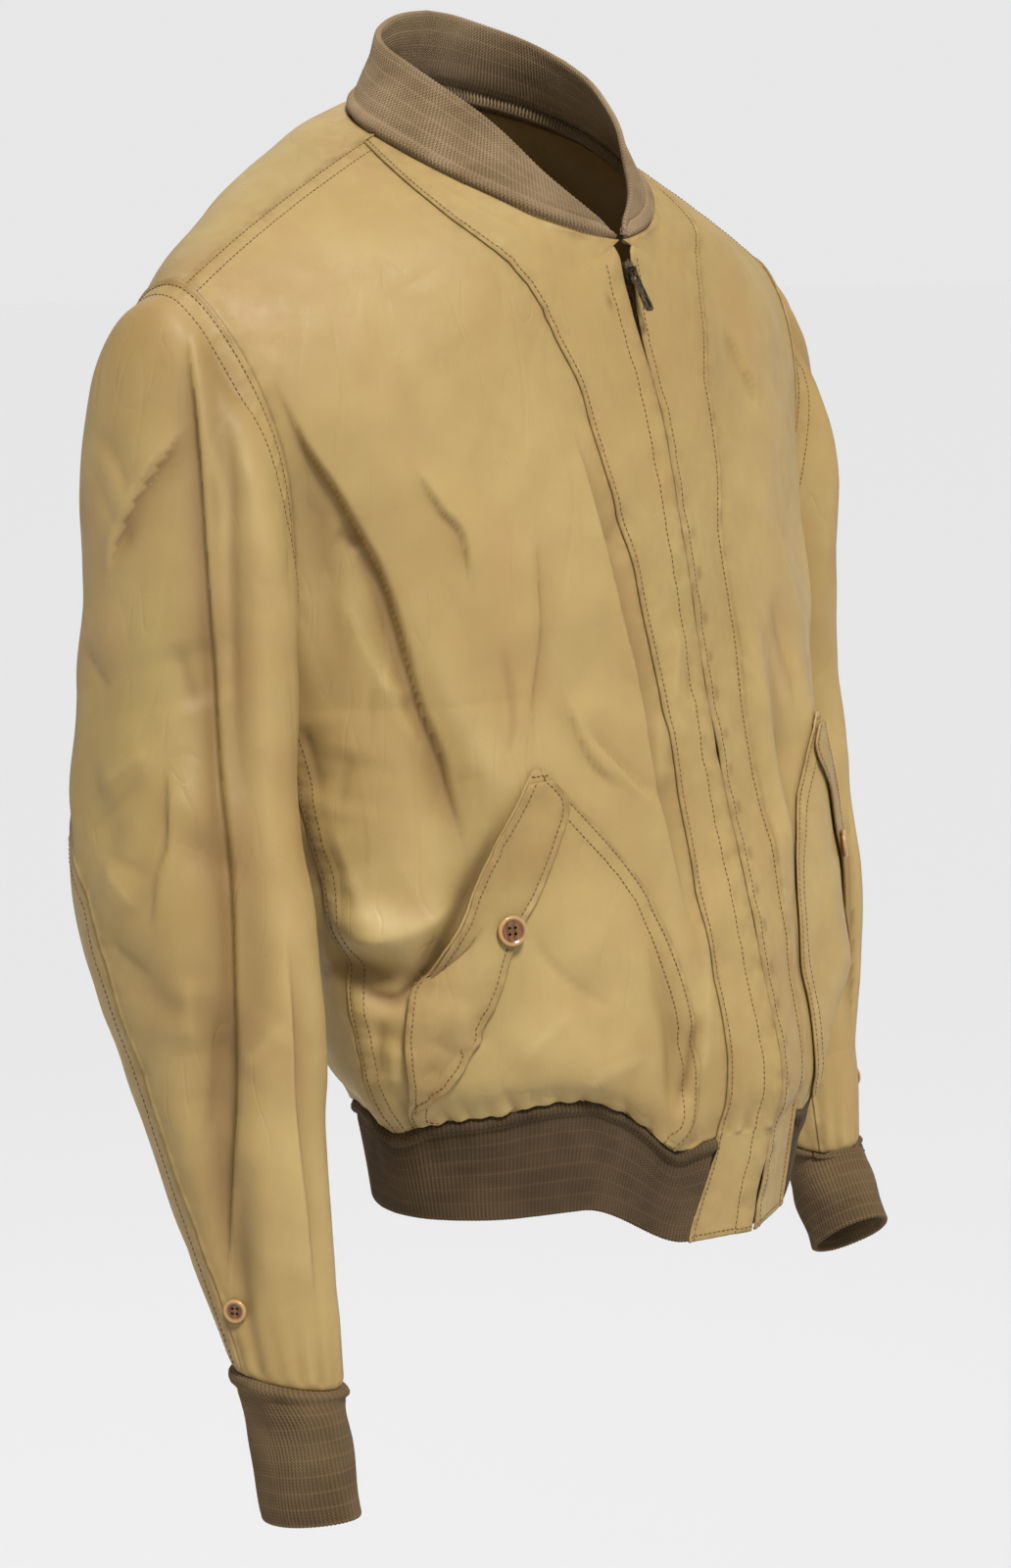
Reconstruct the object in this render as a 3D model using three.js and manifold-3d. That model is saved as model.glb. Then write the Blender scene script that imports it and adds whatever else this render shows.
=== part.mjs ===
// A leather blouson with knit collar, cuffs and waistband, filled out as it is when worn and open at every end.
// Millimetres, +Z up. The front faces -Y and the wearer's right side is -X.
// The origin is the middle of the neck hole, level with the points where the shoulder seams meet the collar.
import * as THREE from "three";
import { mergeVertices } from "three/addons/utils/BufferGeometryUtils.js";
import Module from "manifold-3d";

const wasm = await Module();
wasm.setup();

// Thicknesses and gaps
const LEATHER = 1.6;
const KNIT = 3.2;
const SEAM_GAP = 0.3;
const RIGHT = -1;
const LEFT = 1;

// Neck, shoulder and underarm, given for the left half
const FRONT_NECK = [0, -94, -62];
const BACK_NECK = [0, 70, 30];
const SIDE_NECK = [92, 10, 0];
const SHOULDER_TIP = [252, 2, -78];
const UNDERARM = [220, -22, -308];

// Where a section's Bezier handles reach: 0.55 of the way is a round quarter, more is squarer
const ROUND = 0.58;
const NECK_ROUND = 0.56;

// Widths of what is sewn at the front edge
const TAB_WIDTH_AT_HEM = 47;
const CENTRE_PANEL_WIDTH = 40;
const ZIP_EDGE = 0.7;
const ZIP_MOUTH = 5.6;
const ZIP_MOUTH_FROM = 5.45;

// Knit trims
const COLLAR_HEIGHT = 47;
const COLLAR_END_HEIGHT = 9;
const COLLAR_RISE = 112;
const COLLAR_LEAN = 26 * (Math.PI / 180);
const ROLL_HEIGHT = 9;
const ROLL_BULGE = 2.2;
const BAND_HEIGHT = 62;
const CUFF_LENGTH = 78;

// Vectors are plain [x, y, z] triples
const add = (a, b, k = 1) => [a[0] + k * b[0], a[1] + k * b[1], a[2] + k * b[2]];
const sub = (a, b) => add(a, b, -1);
const scale = (a, k) => [a[0] * k, a[1] * k, a[2] * k];
const dot = (a, b) => a[0] * b[0] + a[1] * b[1] + a[2] * b[2];
const cross = (a, b) => [a[1] * b[2] - a[2] * b[1], a[2] * b[0] - a[0] * b[2], a[0] * b[1] - a[1] * b[0]];
const length = (a) => Math.hypot(a[0], a[1], a[2]);
const unit = (a) => scale(a, 1 / length(a));
const mix = (a, b, k) => add(scale(a, 1 - k), b, k);
const mirror = (a, side) => [a[0] * side, a[1], a[2]];
const clamp = (x, low, high) => Math.min(Math.max(x, low), high);
const smooth = (x) => clamp(x, 0, 1) ** 2 * (3 - 2 * clamp(x, 0, 1));
const bump = (x) => Math.exp(-x * x);

function bezier(a, b, c, d, k) {
  const m = 1 - k;
  return add(add(add(scale(a, m * m * m), b, 3 * m * m * k), c, 3 * m * k * k), d, k * k * k);
}

// Point at t on a smooth curve through rows[0], rows[1], ... at t = 0, 1, ...; it may turn a corner at a break.
function through(rows, t, breaks = []) {
  const last = rows.length - 1;
  const k = clamp(Math.floor(t), 0, last - 1);
  const f = t - k;
  const slope = (row, start) => {
    const corner = breaks.includes(row);
    const before = row > 0 && !(corner && start === row) ? row - 1 : row;
    const after = row < last && !(corner && start < row) ? row + 1 : row;
    return scale(sub(rows[after], rows[before]), 1 / (after - before));
  };
  const [a, b] = [rows[k], rows[k + 1]];
  return bezier(a, add(a, slope(k, k), 1 / 3), add(b, slope(k + 1, k), -1 / 3), b, f);
}

// A number that follows a list of [t, value] pairs along smooth steps.
function along(pairs, t) {
  const k = clamp(pairs.findIndex((p) => p[0] >= t), 1, pairs.length - 1);
  const at = t > pairs[pairs.length - 1][0] ? pairs.length - 1 : k;
  const [[t0, v0], [t1, v1]] = [pairs[at - 1], pairs[at]];
  return v0 + (v1 - v0) * smooth((t - t0) / (t1 - t0));
}

// Torso. Each quarter runs in s from the side (0) to the centre (1) and in t from the hem (0) to the shoulder seam (7):
// 1 is the waistband seam, 2 the blouse above it, 4 the underarm, 6 the front or back neck point.
const HEM = 0;
const BAND_SEAM = 1;
const UNDERARM_ROW = 4;
const NECK_ROW = 6;
const SHOULDER_ROW = 7;

// A quarter section that leaves the side straight ahead and runs to the centre, where it may turn a soft corner.
const quarter = (side, centre, point = 0) => ({
  side,
  centre,
  sideHandle: [0, ROUND * (centre[1] - side[1]), 0.1 * (centre[2] - side[2])],
  centreHandle: [(ROUND - point) * side[0], -0.4 * point * centre[1], 0.5 * (side[2] - centre[2])],
});

const SIDE_SEAM = [[168, -66, -600], [180, -66, -538], [200, -62, -506], [207, -48, -420], UNDERARM];
const FRONT_ROWS = [
  quarter(SIDE_SEAM[0], [0, -166, -606], 0.24),
  quarter(SIDE_SEAM[1], [0, -177, -543], 0.24),
  quarter(SIDE_SEAM[2], [0, -182, -508], 0.22),
  quarter(SIDE_SEAM[3], [0, -162, -418], 0.16),
  quarter(SIDE_SEAM[4], [0, -143, -310], 0.1),
  { side: [221, -42, -222], sideHandle: [-34, -50, 4], centreHandle: [100, 4, 0], centre: [0, -127, -202] },
  { side: [237, -42, -142], sideHandle: [-62, -38, 24], centreHandle: [72, 0, -6], centre: FRONT_NECK },
  { side: SHOULDER_TIP, sideHandle: [-52, 4, 30], centreHandle: [50, -2, -20], centre: SIDE_NECK },
];
const BACK_ROWS = [
  quarter(SIDE_SEAM[0], [0, 30, -602]),
  quarter(SIDE_SEAM[1], [0, 36, -537]),
  quarter(SIDE_SEAM[2], [0, 56, -502]),
  quarter(SIDE_SEAM[3], [0, 68, -410]),
  quarter(SIDE_SEAM[4], [0, 92, -290]),
  { side: [227, 64, -205], sideHandle: [-52, 38, 12], centreHandle: [108, 0, 0], centre: [0, 104, -140] },
  { side: [239, 60, -106], sideHandle: [-58, 26, 46], centreHandle: [64, 8, -4], centre: BACK_NECK },
  FRONT_ROWS[SHOULDER_ROW],
];
// The stiff zip swings towards the wearer's left on its way down
const ZIP_SWING = [[0, 18], [1, 22], [2, 24], [3, 17], [4, 9], [5, 4], [6, 0]];
const HALVES = {
  front: { rows: [...FRONT_ROWS, BACK_ROWS[NECK_ROW]], facing: -1, neck: FRONT_NECK },
  back: { rows: [...BACK_ROWS, FRONT_ROWS[NECK_ROW]], facing: 1, neck: BACK_NECK },
};

// The leather fronts hang lower than the elastic knit
const FRONT_SAG = 29;
// Where the leather sags over the waistband seam, as s, half width in s and drop
const DROOPS = {
  front: [{ at: 0, width: 0.1, drop: 10 }, { at: 0.71, width: 0.06, drop: 8 }, { at: 0.45, width: 0.14, drop: -6 }],
  back: [{ at: 0, width: 0.1, drop: 10 }, { at: 0.4, width: 0.1, drop: 7 }, { at: 0.85, width: 0.1, drop: 6 }],
};

// The neckline from the front or back neck point (0) to the side neck point (1), for the left half.
function neckline(half, k) {
  const { neck } = HALVES[half];
  const across = [NECK_ROUND * SIDE_NECK[0], 0, 0.1 * (SIDE_NECK[2] - neck[2])];
  const away = [0, NECK_ROUND * (neck[1] - SIDE_NECK[1]), 0.45 * (neck[2] - SIDE_NECK[2])];
  return bezier(neck, add(neck, across), add(SIDE_NECK, away), SIDE_NECK, k);
}

function torsoBase(half, side, s, t) {
  const { rows } = HALVES[half];
  const column = (key, breaks) => through(rows.map((row) => row[key]), t, breaks);
  const edge = column("side", [BAND_SEAM, UNDERARM_ROW]);
  const centre = t > NECK_ROW ? neckline(half, Math.min(t - NECK_ROW, 1)) : column("centre", [BAND_SEAM, NECK_ROW]);
  if (half === "front") centre[0] += side * along(ZIP_SWING, Math.min(t, NECK_ROW));
  const fromEdge = add(edge, column("sideHandle", [BAND_SEAM]));
  const fromCentre = add(centre, column("centreHandle", [BAND_SEAM]));
  const p = bezier(edge, fromEdge, fromCentre, centre, s);
  const near = smooth(t / BAND_SEAM) * smooth((2.3 - t) / 1.2);
  const droop = DROOPS[half].reduce((sum, { at, width, drop }) => sum + drop * bump((s - at) / width), 0);
  const front = half === "front" ? FRONT_SAG * smooth((s - 0.5) / 0.28) * smooth((3.3 - t) / 1.7) : 0;
  p[2] -= near * droop + front;
  return mirror(p, side);
}

// Sleeves. u runs round the tube from the shoulder tip (0) over the front to the underarm (0.5) and up the back;
// v runs down from the armhole (0) to the cuff seam (SLEEVE_END).
const SLEEVE_RINGS = {
  right: [
    { centre: [257, 0, -222], outward: [27, 6, 108], forward: [-4, -66, -8] },
    { centre: [268, -4, -332], outward: [39, 2, 42], forward: [-4, -66, -4] },
    { centre: [279, -16, -414], outward: [47, 2, 20], forward: [-6, -74, -2] },
    { centre: [281, -44, -540], outward: [37, 4, 8], forward: [-4, -52, -4] },
    { centre: [276, -72, -660], outward: [25, 4, 4], forward: [-2, -29, -4] },
  ],
  left: [
    { centre: [256, 6, -222], outward: [27, 6, 108], forward: [-4, -66, -8] },
    { centre: [262, 12, -332], outward: [40, 2, 42], forward: [-4, -64, -4] },
    { centre: [268, 8, -414], outward: [46, 2, 20], forward: [-6, -68, -2] },
    { centre: [266, -12, -535], outward: [36, 4, 8], forward: [-4, -54, -4] },
    { centre: [262, -36, -652], outward: [25, 4, 4], forward: [-2, -32, -4] },
  ],
};
const SLEEVE_END = 5;
const sleeveRings = (side) => (side === RIGHT ? SLEEVE_RINGS.right : SLEEVE_RINGS.left);

// The armhole edge that the torso and the sleeve share.
function armhole(side, u) {
  const turn = u - Math.floor(u);
  const half = turn <= 0.5 ? "front" : "back";
  const t = turn <= 0.5 ? SHOULDER_ROW - 6 * turn : UNDERARM_ROW + 6 * (turn - 0.5);
  return torsoBase(half, side, 0, t);
}

function sleeveBase(side, u, v) {
  const angle = 2 * Math.PI * u;
  const rings = sleeveRings(side).map(({ centre, outward, forward }) =>
    mirror(add(add(centre, outward, Math.cos(angle)), forward, Math.sin(angle)), side),
  );
  return through([armhole(side, u), ...rings], v);
}

// Folds. Each is a soft ridge (height above 0) or trough (below 0) along a path on the left or right half.
const TORSO_FOLDS = [
  { path: [[-200, -66, -212], [-178, -90, -298], [-163, -106, -376], [-158, -113, -424]], width: 13, height: -5 },
  { path: [[-190, -78, -250], [-150, -110, -330], [-128, -126, -390]], width: 17, height: 5 },
  { path: [[-216, -40, -418], [-200, -74, -428], [-180, -98, -430]], width: 13, height: 8 },
  { path: [[-212, -40, -446], [-200, -76, -454], [-186, -94, -458]], width: 10, height: -9 },
  { path: [[-228, -40, -150], [-214, -52, -210], [-206, -62, -300]], width: 12, height: -5 },
  { path: [[-60, -146, -330], [-44, -160, -430], [-36, -168, -520]], width: 11, height: 4 },
  { path: [[-58, -152, -440], [-50, -162, -510], [-54, -158, -566]], width: 8, height: -6 },
  { path: [[60, -136, -270], [70, -146, -380], [72, -156, -500]], width: 12, height: 5 },
  { path: [[84, -132, -280], [94, -138, -350], [88, -146, -420]], width: 13, height: -4 },
  { path: [[118, -118, -270], [130, -124, -360], [134, -126, -440]], width: 16, height: 5 },
  { path: [[214, -40, -420], [200, -74, -432], [180, -98, -436]], width: 13, height: 6 },
  { path: [[212, -40, -448], [200, -76, -458], [186, -94, -462]], width: 10, height: -7 },
  { path: [[-178, 88, -130], [-140, 94, -260], [-120, 80, -400]], width: 20, height: -5 },
  { path: [[178, 88, -130], [140, 94, -260], [120, 80, -400]], width: 20, height: -5 },
  { path: [[-70, 76, -370], [-54, 66, -450], [-50, 58, -512]], width: 18, height: 6 },
  { path: [[56, 76, -380], [66, 66, -450], [60, 58, -512]], width: 18, height: 6 },
  { path: [[-196, 10, -440], [-130, 52, -462], [-60, 62, -470]], width: 14, height: -5 },
  { path: [[196, 10, -430], [130, 52, -456], [70, 62, -474]], width: 14, height: -5 },
];

function alongPath(path, p) {
  let best = { distance: Infinity };
  let before = 0;
  for (let k = 0; k + 1 < path.length; k += 1) {
    const step = sub(path[k + 1], path[k]);
    const share = clamp(dot(sub(p, path[k]), step) / dot(step, step), 0, 1);
    const distance = length(sub(p, add(path[k], step, share)));
    if (distance < best.distance) best = { distance, travelled: before + share * length(step) };
    before += length(step);
  }
  return { ...best, total: before };
}

function foldHeight(folds, p) {
  return folds.reduce((sum, { path, width, height }) => {
    const { distance, travelled, total } = alongPath(path, p);
    const taper = smooth((2.2 * travelled) / total) * smooth((2.2 * (total - travelled)) / total);
    return sum + height * bump(distance / width) * (0.25 + 0.75 * taper);
  }, 0);
}

// The outer surface and its outward normal, with the folds
const STEP = 1e-3;
function normalOf(surface, a, b) {
  const da = sub(surface(a + STEP, b), surface(a - STEP, b));
  const db = sub(surface(a, b + STEP), surface(a, b - STEP));
  return unit(cross(da, db));
}

function torsoNormal(half, side, s, t) {
  const inside = clamp(s, 2 * STEP, 1 - 2 * STEP);
  const level = clamp(t, HEM + 2 * STEP, SHOULDER_ROW - 2 * STEP);
  const n = normalOf((a, b) => torsoBase(half, side, a, b), inside, level);
  return scale(n, side * HALVES[half].facing);
}

const foldFade = (t) => smooth((t - BAND_SEAM) / 0.5) * smooth((SHOULDER_ROW - t) / 0.8);

function torso(half, side, s, t) {
  const p = torsoBase(half, side, s, t);
  return add(p, torsoNormal(half, side, s, t), foldHeight(TORSO_FOLDS, p) * foldFade(t));
}

// The crease down each empty sleeve: u along it, from the armhole to the cuff.
const CREASE_U = [[0, 0.115], [2.5, 0.155], [3.2, 0.15], [4, 0.08], [5, 0.02]];
const CREASE_DEPTH = 9;
const CREASE_WIDTH = 0.045;
const ELBOW_FOLDS = [
  { path: [[-322, -34, -352], [-312, -62, -372], [-296, -82, -384]], width: 12, height: -5 },
  { path: [[-330, 0, -430], [-318, -40, -452], [-296, -78, -458]], width: 13, height: -4 },
  { path: [[322, -20, -360], [306, -44, -380], [290, -56, -392]], width: 12, height: -4 },
];

function sleeveNormal(side, u, v) {
  const n = normalOf((a, b) => sleeveBase(side, a, b), u, clamp(v, 2 * STEP, SLEEVE_END - 2 * STEP));
  return scale(n, side);
}

function sleeve(side, u, v) {
  const p = sleeveBase(side, u, v);
  const around = u - along(CREASE_U, v);
  const turn = around - Math.round(around);
  const fade = smooth(v / 0.35) * smooth((SLEEVE_END - v) / 0.6);
  const crease = -CREASE_DEPTH * bump(turn / CREASE_WIDTH);
  const lift = (crease + foldHeight(ELBOW_FOLDS, p)) * fade;
  return add(p, sleeveNormal(side, u, v), lift);
}

// Normals of the folded surfaces. A seam row belongs to the stretch on the side that is asked for.
const NEAR = 4e-3;
function torsoFace(half, side, s, t, below = false) {
  const low = t > BAND_SEAM || (t === BAND_SEAM && !below) ? BAND_SEAM : HEM;
  const high = low === HEM ? BAND_SEAM : SHOULDER_ROW;
  const level = clamp(t, low + 2 * NEAR, high - 2 * NEAR);
  const inside = clamp(s, 2 * NEAR, 1 - 2 * NEAR);
  const across = sub(torso(half, side, inside + NEAR, level), torso(half, side, inside - NEAR, level));
  const up = sub(torso(half, side, inside, level + NEAR), torso(half, side, inside, level - NEAR));
  return scale(unit(cross(across, up)), side * HALVES[half].facing);
}

function sleeveFace(side, u, v) {
  const level = clamp(v, 2 * NEAR, SLEEVE_END - 2 * NEAR);
  const round = sub(sleeve(side, u + NEAR, level), sleeve(side, u - NEAR, level));
  const down = sub(sleeve(side, u, level + NEAR), sleeve(side, u, level - NEAR));
  return scale(unit(cross(round, down)), side);
}

// Two walls that meet at an angle share one direction through the seam between them.
const miter = (a, b) => unit(add(a, b));
const armholeAt = (u) => {
  const turn = u - Math.floor(u);
  const front = turn <= 0.5;
  return [front ? "front" : "back", front ? SHOULDER_ROW - 6 * turn : UNDERARM_ROW + 6 * (turn - 0.5)];
};
function armholeMiter(side, u) {
  const [half, t] = armholeAt(u);
  return miter(torsoFace(half, side, 0, t), sleeveFace(side, u, 0));
}
function bandMiter(half, side, s) {
  return miter(torsoFace(half, side, s, BAND_SEAM), torsoFace(half, side, s, BAND_SEAM, true));
}

// Rows and columns of the grids. Pieces that are sewn together share them along their seam.
const steps = (from, to, count) => Array.from({ length: count + 1 }, (_, k) => from + ((to - from) * k) / count);
const BAND_ROWS = [0, 0.3, 0.6, 0.84, 0.92, 1];
const TORSO_ROWS = [
  ...steps(BAND_SEAM, 2, 5),
  ...steps(2, UNDERARM_ROW, 6).slice(1),
  ...steps(UNDERARM_ROW, NECK_ROW, 8).slice(1),
  ...steps(NECK_ROW, SHOULDER_ROW, 6).slice(1),
];
const ARMHOLE_ROWS = TORSO_ROWS.filter((t) => t >= UNDERARM_ROW);
const NECKLINE_ROWS = TORSO_ROWS.filter((t) => t >= NECK_ROW);
const SIDE_COLUMNS = 10;
const BACK_COLUMNS = 10;
const CENTRE_COLUMNS = 4;

// The curved front seam that parts the side panel from the centre panel, as a width from the centre front
const PANEL_WIDTH = [[0, TAB_WIDTH_AT_HEM], [1, CENTRE_PANEL_WIDTH], [3.6, 37], [4.6, 42], [5.4, 56], [6, 82]];
const PANEL_TOP_S = 0.94;
function sAtWidth(side, t, width) {
  const count = 24;
  let s = 1;
  for (let k = 0; k < count; k += 1) {
    const at = clamp(s, 0.01, 0.99);
    const reach = length(sub(torsoBase("front", side, at + STEP, t), torsoBase("front", side, at - STEP, t)));
    s -= (width / count) * ((2 * STEP) / reach);
  }
  return s;
}
function panelSeam(side, t) {
  const level = Math.min(t, NECK_ROW);
  const s = sAtWidth(side, level, along(PANEL_WIDTH, level));
  return s + (PANEL_TOP_S - s) * clamp(t - NECK_ROW, 0, 1) ** 1.15;
}

// Half the opening between the two front edges: nearly closed, and parted at the neck where the slider sits
function zipGap(t) {
  return ZIP_EDGE + (ZIP_MOUTH - ZIP_EDGE) * smooth((t - ZIP_MOUTH_FROM) / (NECK_ROW - ZIP_MOUTH_FROM));
}

// Small steps in s and t that leave half a seam gap
function seamStep(half, side, s, t) {
  const [a, b] = [clamp(s, NEAR, 1 - NEAR), clamp(t, HEM + NEAR, SHOULDER_ROW - NEAR)];
  const ds = length(sub(torsoBase(half, side, a + STEP, b), torsoBase(half, side, a - STEP, b))) / (2 * STEP);
  const dt = length(sub(torsoBase(half, side, a, b + STEP), torsoBase(half, side, a, b - STEP))) / (2 * STEP);
  return [SEAM_GAP / 2 / ds, SEAM_GAP / 2 / dt];
}

// Closed walls. Each corner has a point on the outer face and a way in; free edges are closed by a rim, which is split
// the same way on both sides of a seam.
const CLEARLY_APART = 2;
function leads(a, b) {
  const axis = [2, 0, 1].find((k) => Math.abs(a[k] - b[k]) > CLEARLY_APART);
  return axis !== undefined && a[axis] > b[axis];
}
function wall(corners, quads, thickness) {
  const count = corners.length;
  const points = [...corners.map((c) => c.point), ...corners.map((c) => add(c.point, c.out, -thickness))];
  const faces = [];
  const edges = new Map();
  for (const quad of quads) {
    const [a, b, c, d] = quad;
    faces.push(a, b, c, a, c, d, a + count, c + count, b + count, a + count, d + count, c + count);
    quad.forEach((from, k) => edges.set(`${from} ${quad[(k + 1) % 4]}`, [from, quad[(k + 1) % 4]]));
  }
  for (const [from, to] of edges.values()) {
    if (edges.has(`${to} ${from}`)) continue;
    if (leads(points[from], points[to])) faces.push(to, from, to + count, from, from + count, to + count);
    else faces.push(to, from, from + count, to, from + count, to + count);
  }
  return solidGeometry(points, faces);
}

function solidGeometry(points, faces) {
  let volume = 0;
  for (let k = 0; k < faces.length; k += 3) {
    volume += dot(points[faces[k]], cross(points[faces[k + 1]], points[faces[k + 2]]));
  }
  const geometry = new THREE.BufferGeometry();
  geometry.setAttribute("position", new THREE.Float32BufferAttribute(points.flat(), 3));
  geometry.setIndex(volume < 0 ? [...faces].reverse() : faces);
  return geometry;
}

// A wall over a grid of corners; a round one closes on itself.
function gridWall(grid, thickness, round = false) {
  const [columns, rows] = [grid.length, grid[0].length];
  const at = (i, j) => (i % columns) * rows + j;
  const quads = [];
  for (let i = 0; i < (round ? columns : columns - 1); i += 1) {
    for (let j = 0; j + 1 < rows; j += 1) quads.push([at(i, j), at(i + 1, j), at(i + 1, j + 1), at(i, j + 1)]);
  }
  return wall(grid.flat(), quads, thickness);
}

// One corner of a torso panel: s and t are drawn in by half a seam gap where the panel ends.
function torsoCorner(half, side, s, t, ends) {
  const [ds, dt] = seamStep(half, side, s, t);
  const at = clamp(s, ends.s[0] + ds, ends.s[1] - ds);
  const level = clamp(t, ends.t[0] + (ends.t[0] > HEM ? dt : 0), ends.t[1] - 1.5 * dt);
  let out = torsoFace(half, side, at, level);
  if (s === 0 && t >= UNDERARM_ROW) out = armholeMiter(side, half === "front" ? (7 - t) / 6 : 0.5 + (t - 4) / 6);
  else if (t === BAND_SEAM) out = bandMiter(half, side, at);
  else if (s >= ends.s[1] && t >= NECK_ROW && ends.neck) out = miter(out, collarOut(half, side, t));
  return { point: torso(half, side, at, level), out };
}

function frontSide(side) {
  const grid = steps(0, 1, SIDE_COLUMNS).map((share) =>
    TORSO_ROWS.map((t) => {
      const seam = panelSeam(side, t);
      return torsoCorner("front", side, share * seam, t, { s: [0, seam], t: [BAND_SEAM, SHOULDER_ROW] });
    }),
  );
  return { grid, geometry: gridWall(grid, LEATHER) };
}

function frontCentre(side) {
  const rows = [...BAND_ROWS.slice(0, -1), ...TORSO_ROWS];
  const grid = steps(0, 1, CENTRE_COLUMNS).map((share) =>
    rows.map((t) => {
      const seam = panelSeam(side, t);
      const edge = t <= NECK_ROW ? sAtWidth(side, t, zipGap(t)) : 1;
      const ends = { s: [seam, edge], t: [HEM, SHOULDER_ROW], neck: true };
      return torsoCorner("front", side, seam + share * (edge - seam), t, ends);
    }),
  );
  return { grid, geometry: gridWall(grid, LEATHER) };
}

function backPanel() {
  const corners = [];
  const found = new Map();
  const corner = (side, i, j) => {
    const middle = i === BACK_COLUMNS && TORSO_ROWS[j] <= NECK_ROW;
    const key = `${middle ? 0 : side} ${i} ${j}`;
    if (!found.has(key)) {
      const top = middle ? NECK_ROW : SHOULDER_ROW;
      const ends = { s: [0, middle ? 2 : 1], t: [BAND_SEAM, top], neck: true };
      const made = torsoCorner("back", side, i / BACK_COLUMNS, TORSO_ROWS[j], ends);
      if (middle) made.out = unit([0, made.out[1], made.out[2]]);
      if (middle && TORSO_ROWS[j] === NECK_ROW) made.out = miter(made.out, collarOut("back", side, NECK_ROW));
      found.set(key, corners.length);
      corners.push(made);
    }
    return found.get(key);
  };
  const quads = [];
  for (const side of [RIGHT, LEFT]) {
    for (let i = 0; i < BACK_COLUMNS; i += 1) {
      for (let j = 0; j + 1 < TORSO_ROWS.length; j += 1) {
        const [low, high] = [corner(side, i, j), corner(side, i, j + 1)];
        const quad = [low, corner(side, i + 1, j), corner(side, i + 1, j + 1), high];
        quads.push(side === RIGHT ? quad : quad.reverse());
      }
    }
  }
  return wall(corners, quads, LEATHER);
}

// Sleeve seams: columns start on the armhole's own points and drift with the seams on the way down.
const ARMHOLE_U = [
  ...ARMHOLE_ROWS.map((t) => 0.5 + (t - UNDERARM_ROW) / 6).map((u) => u - 1),
  ...[...ARMHOLE_ROWS].reverse().slice(1).map((t) => (SHOULDER_ROW - t) / 6),
];
const SLEEVE_ROWS = steps(0, SLEEVE_END, 16);
const FRONT_SEAM_U = 5 / 12;
const BACK_SEAM_U = -7 / 24;
const BACK_SEAM_DRIFT = {
  right: [[0, 0], [1.5, 0.05], [2.5, 0.13], [3.2, 0.23], [5, 0.275]],
  left: [[0, 0], [1.5, 0.07], [2.5, 0.17], [3.2, 0.28], [5, 0.36]],
};
const backDrift = (side, v) => along(side === RIGHT ? BACK_SEAM_DRIFT.right : BACK_SEAM_DRIFT.left, v);

// How much of the back seam's drift a column takes: all at the back seam, none at the front seam
function driftShare(u) {
  if (u <= FRONT_SEAM_U + 1e-6) return (FRONT_SEAM_U - u) / (FRONT_SEAM_U - BACK_SEAM_U);
  return (u - FRONT_SEAM_U) / (1 + BACK_SEAM_U - FRONT_SEAM_U);
}

function sleevePanel(side, from, to) {
  const twice = ARMHOLE_U.concat(ARMHOLE_U.slice(1).map((u) => u + 1));
  const columns = twice.filter((u) => u > from - 1e-6 && u < to + 1e-6);
  const grid = columns.map((first, i) =>
    SLEEVE_ROWS.map((v) => {
      const u = first + driftShare(first) * backDrift(side, v);
      const around = length(sub(sleeve(side, u + STEP, v), sleeve(side, u - STEP, v))) / (2 * STEP);
      const half = SEAM_GAP / 2;
      const gap = half / around;
      const shift = i === 0 ? gap : i === columns.length - 1 ? -gap : 0;
      const start = clamp(v, STEP, SLEEVE_END - STEP);
      const down = length(sub(sleeveBase(side, u, start + STEP), sleeveBase(side, u, start - STEP))) / (2 * STEP);
      const level = clamp(v, SEAM_GAP / down, SLEEVE_END - half / down);
      let out = sleeveFace(side, u + shift, level);
      if (v === 0) out = armholeMiter(side, u);
      else if (v === SLEEVE_END) out = miter(out, cuffFace(side, u, 0));
      return { point: sleeve(side, u + shift, level), out };
    }),
  );
  return { grid, geometry: gridWall(grid, LEATHER) };
}

// Collar. w runs along the neckline from the right front end (-1) over the back (0) to the left front end (1).
const NECK_CENTRE = [0, -12, 0];
function neckPoint(half, side, t) {
  if (half === "front" && t === NECK_ROW) return torso(half, side, sAtWidth(side, NECK_ROW, ZIP_MOUTH), NECK_ROW);
  return torsoBase(half, side, 1, t);
}
function collarUp(half, side, t) {
  const inward = sub(NECK_CENTRE, neckPoint(half, side, t));
  const flat = unit([inward[0], inward[1], 0]);
  return unit([flat[0] * Math.sin(COLLAR_LEAN), flat[1] * Math.sin(COLLAR_LEAN), Math.cos(COLLAR_LEAN)]);
}
function collarOut(half, side, t) {
  const up = collarUp(half, side, t);
  const away = sub(neckPoint(half, side, t), NECK_CENTRE);
  return unit(add([away[0], away[1], 0], up, -dot([away[0], away[1], 0], up)));
}
function collarHeight(distance) {
  const share = Math.sin((Math.PI / 2) * Math.min(distance / COLLAR_RISE, 1));
  return COLLAR_END_HEIGHT + (COLLAR_HEIGHT - COLLAR_END_HEIGHT) * share;
}
// A rolled edge beside a seam: how far the knit stands out at a height above the seam
const roll = (height) => ROLL_BULGE * Math.sin(Math.PI * clamp(height / ROLL_HEIGHT, 0, 1));

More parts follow.
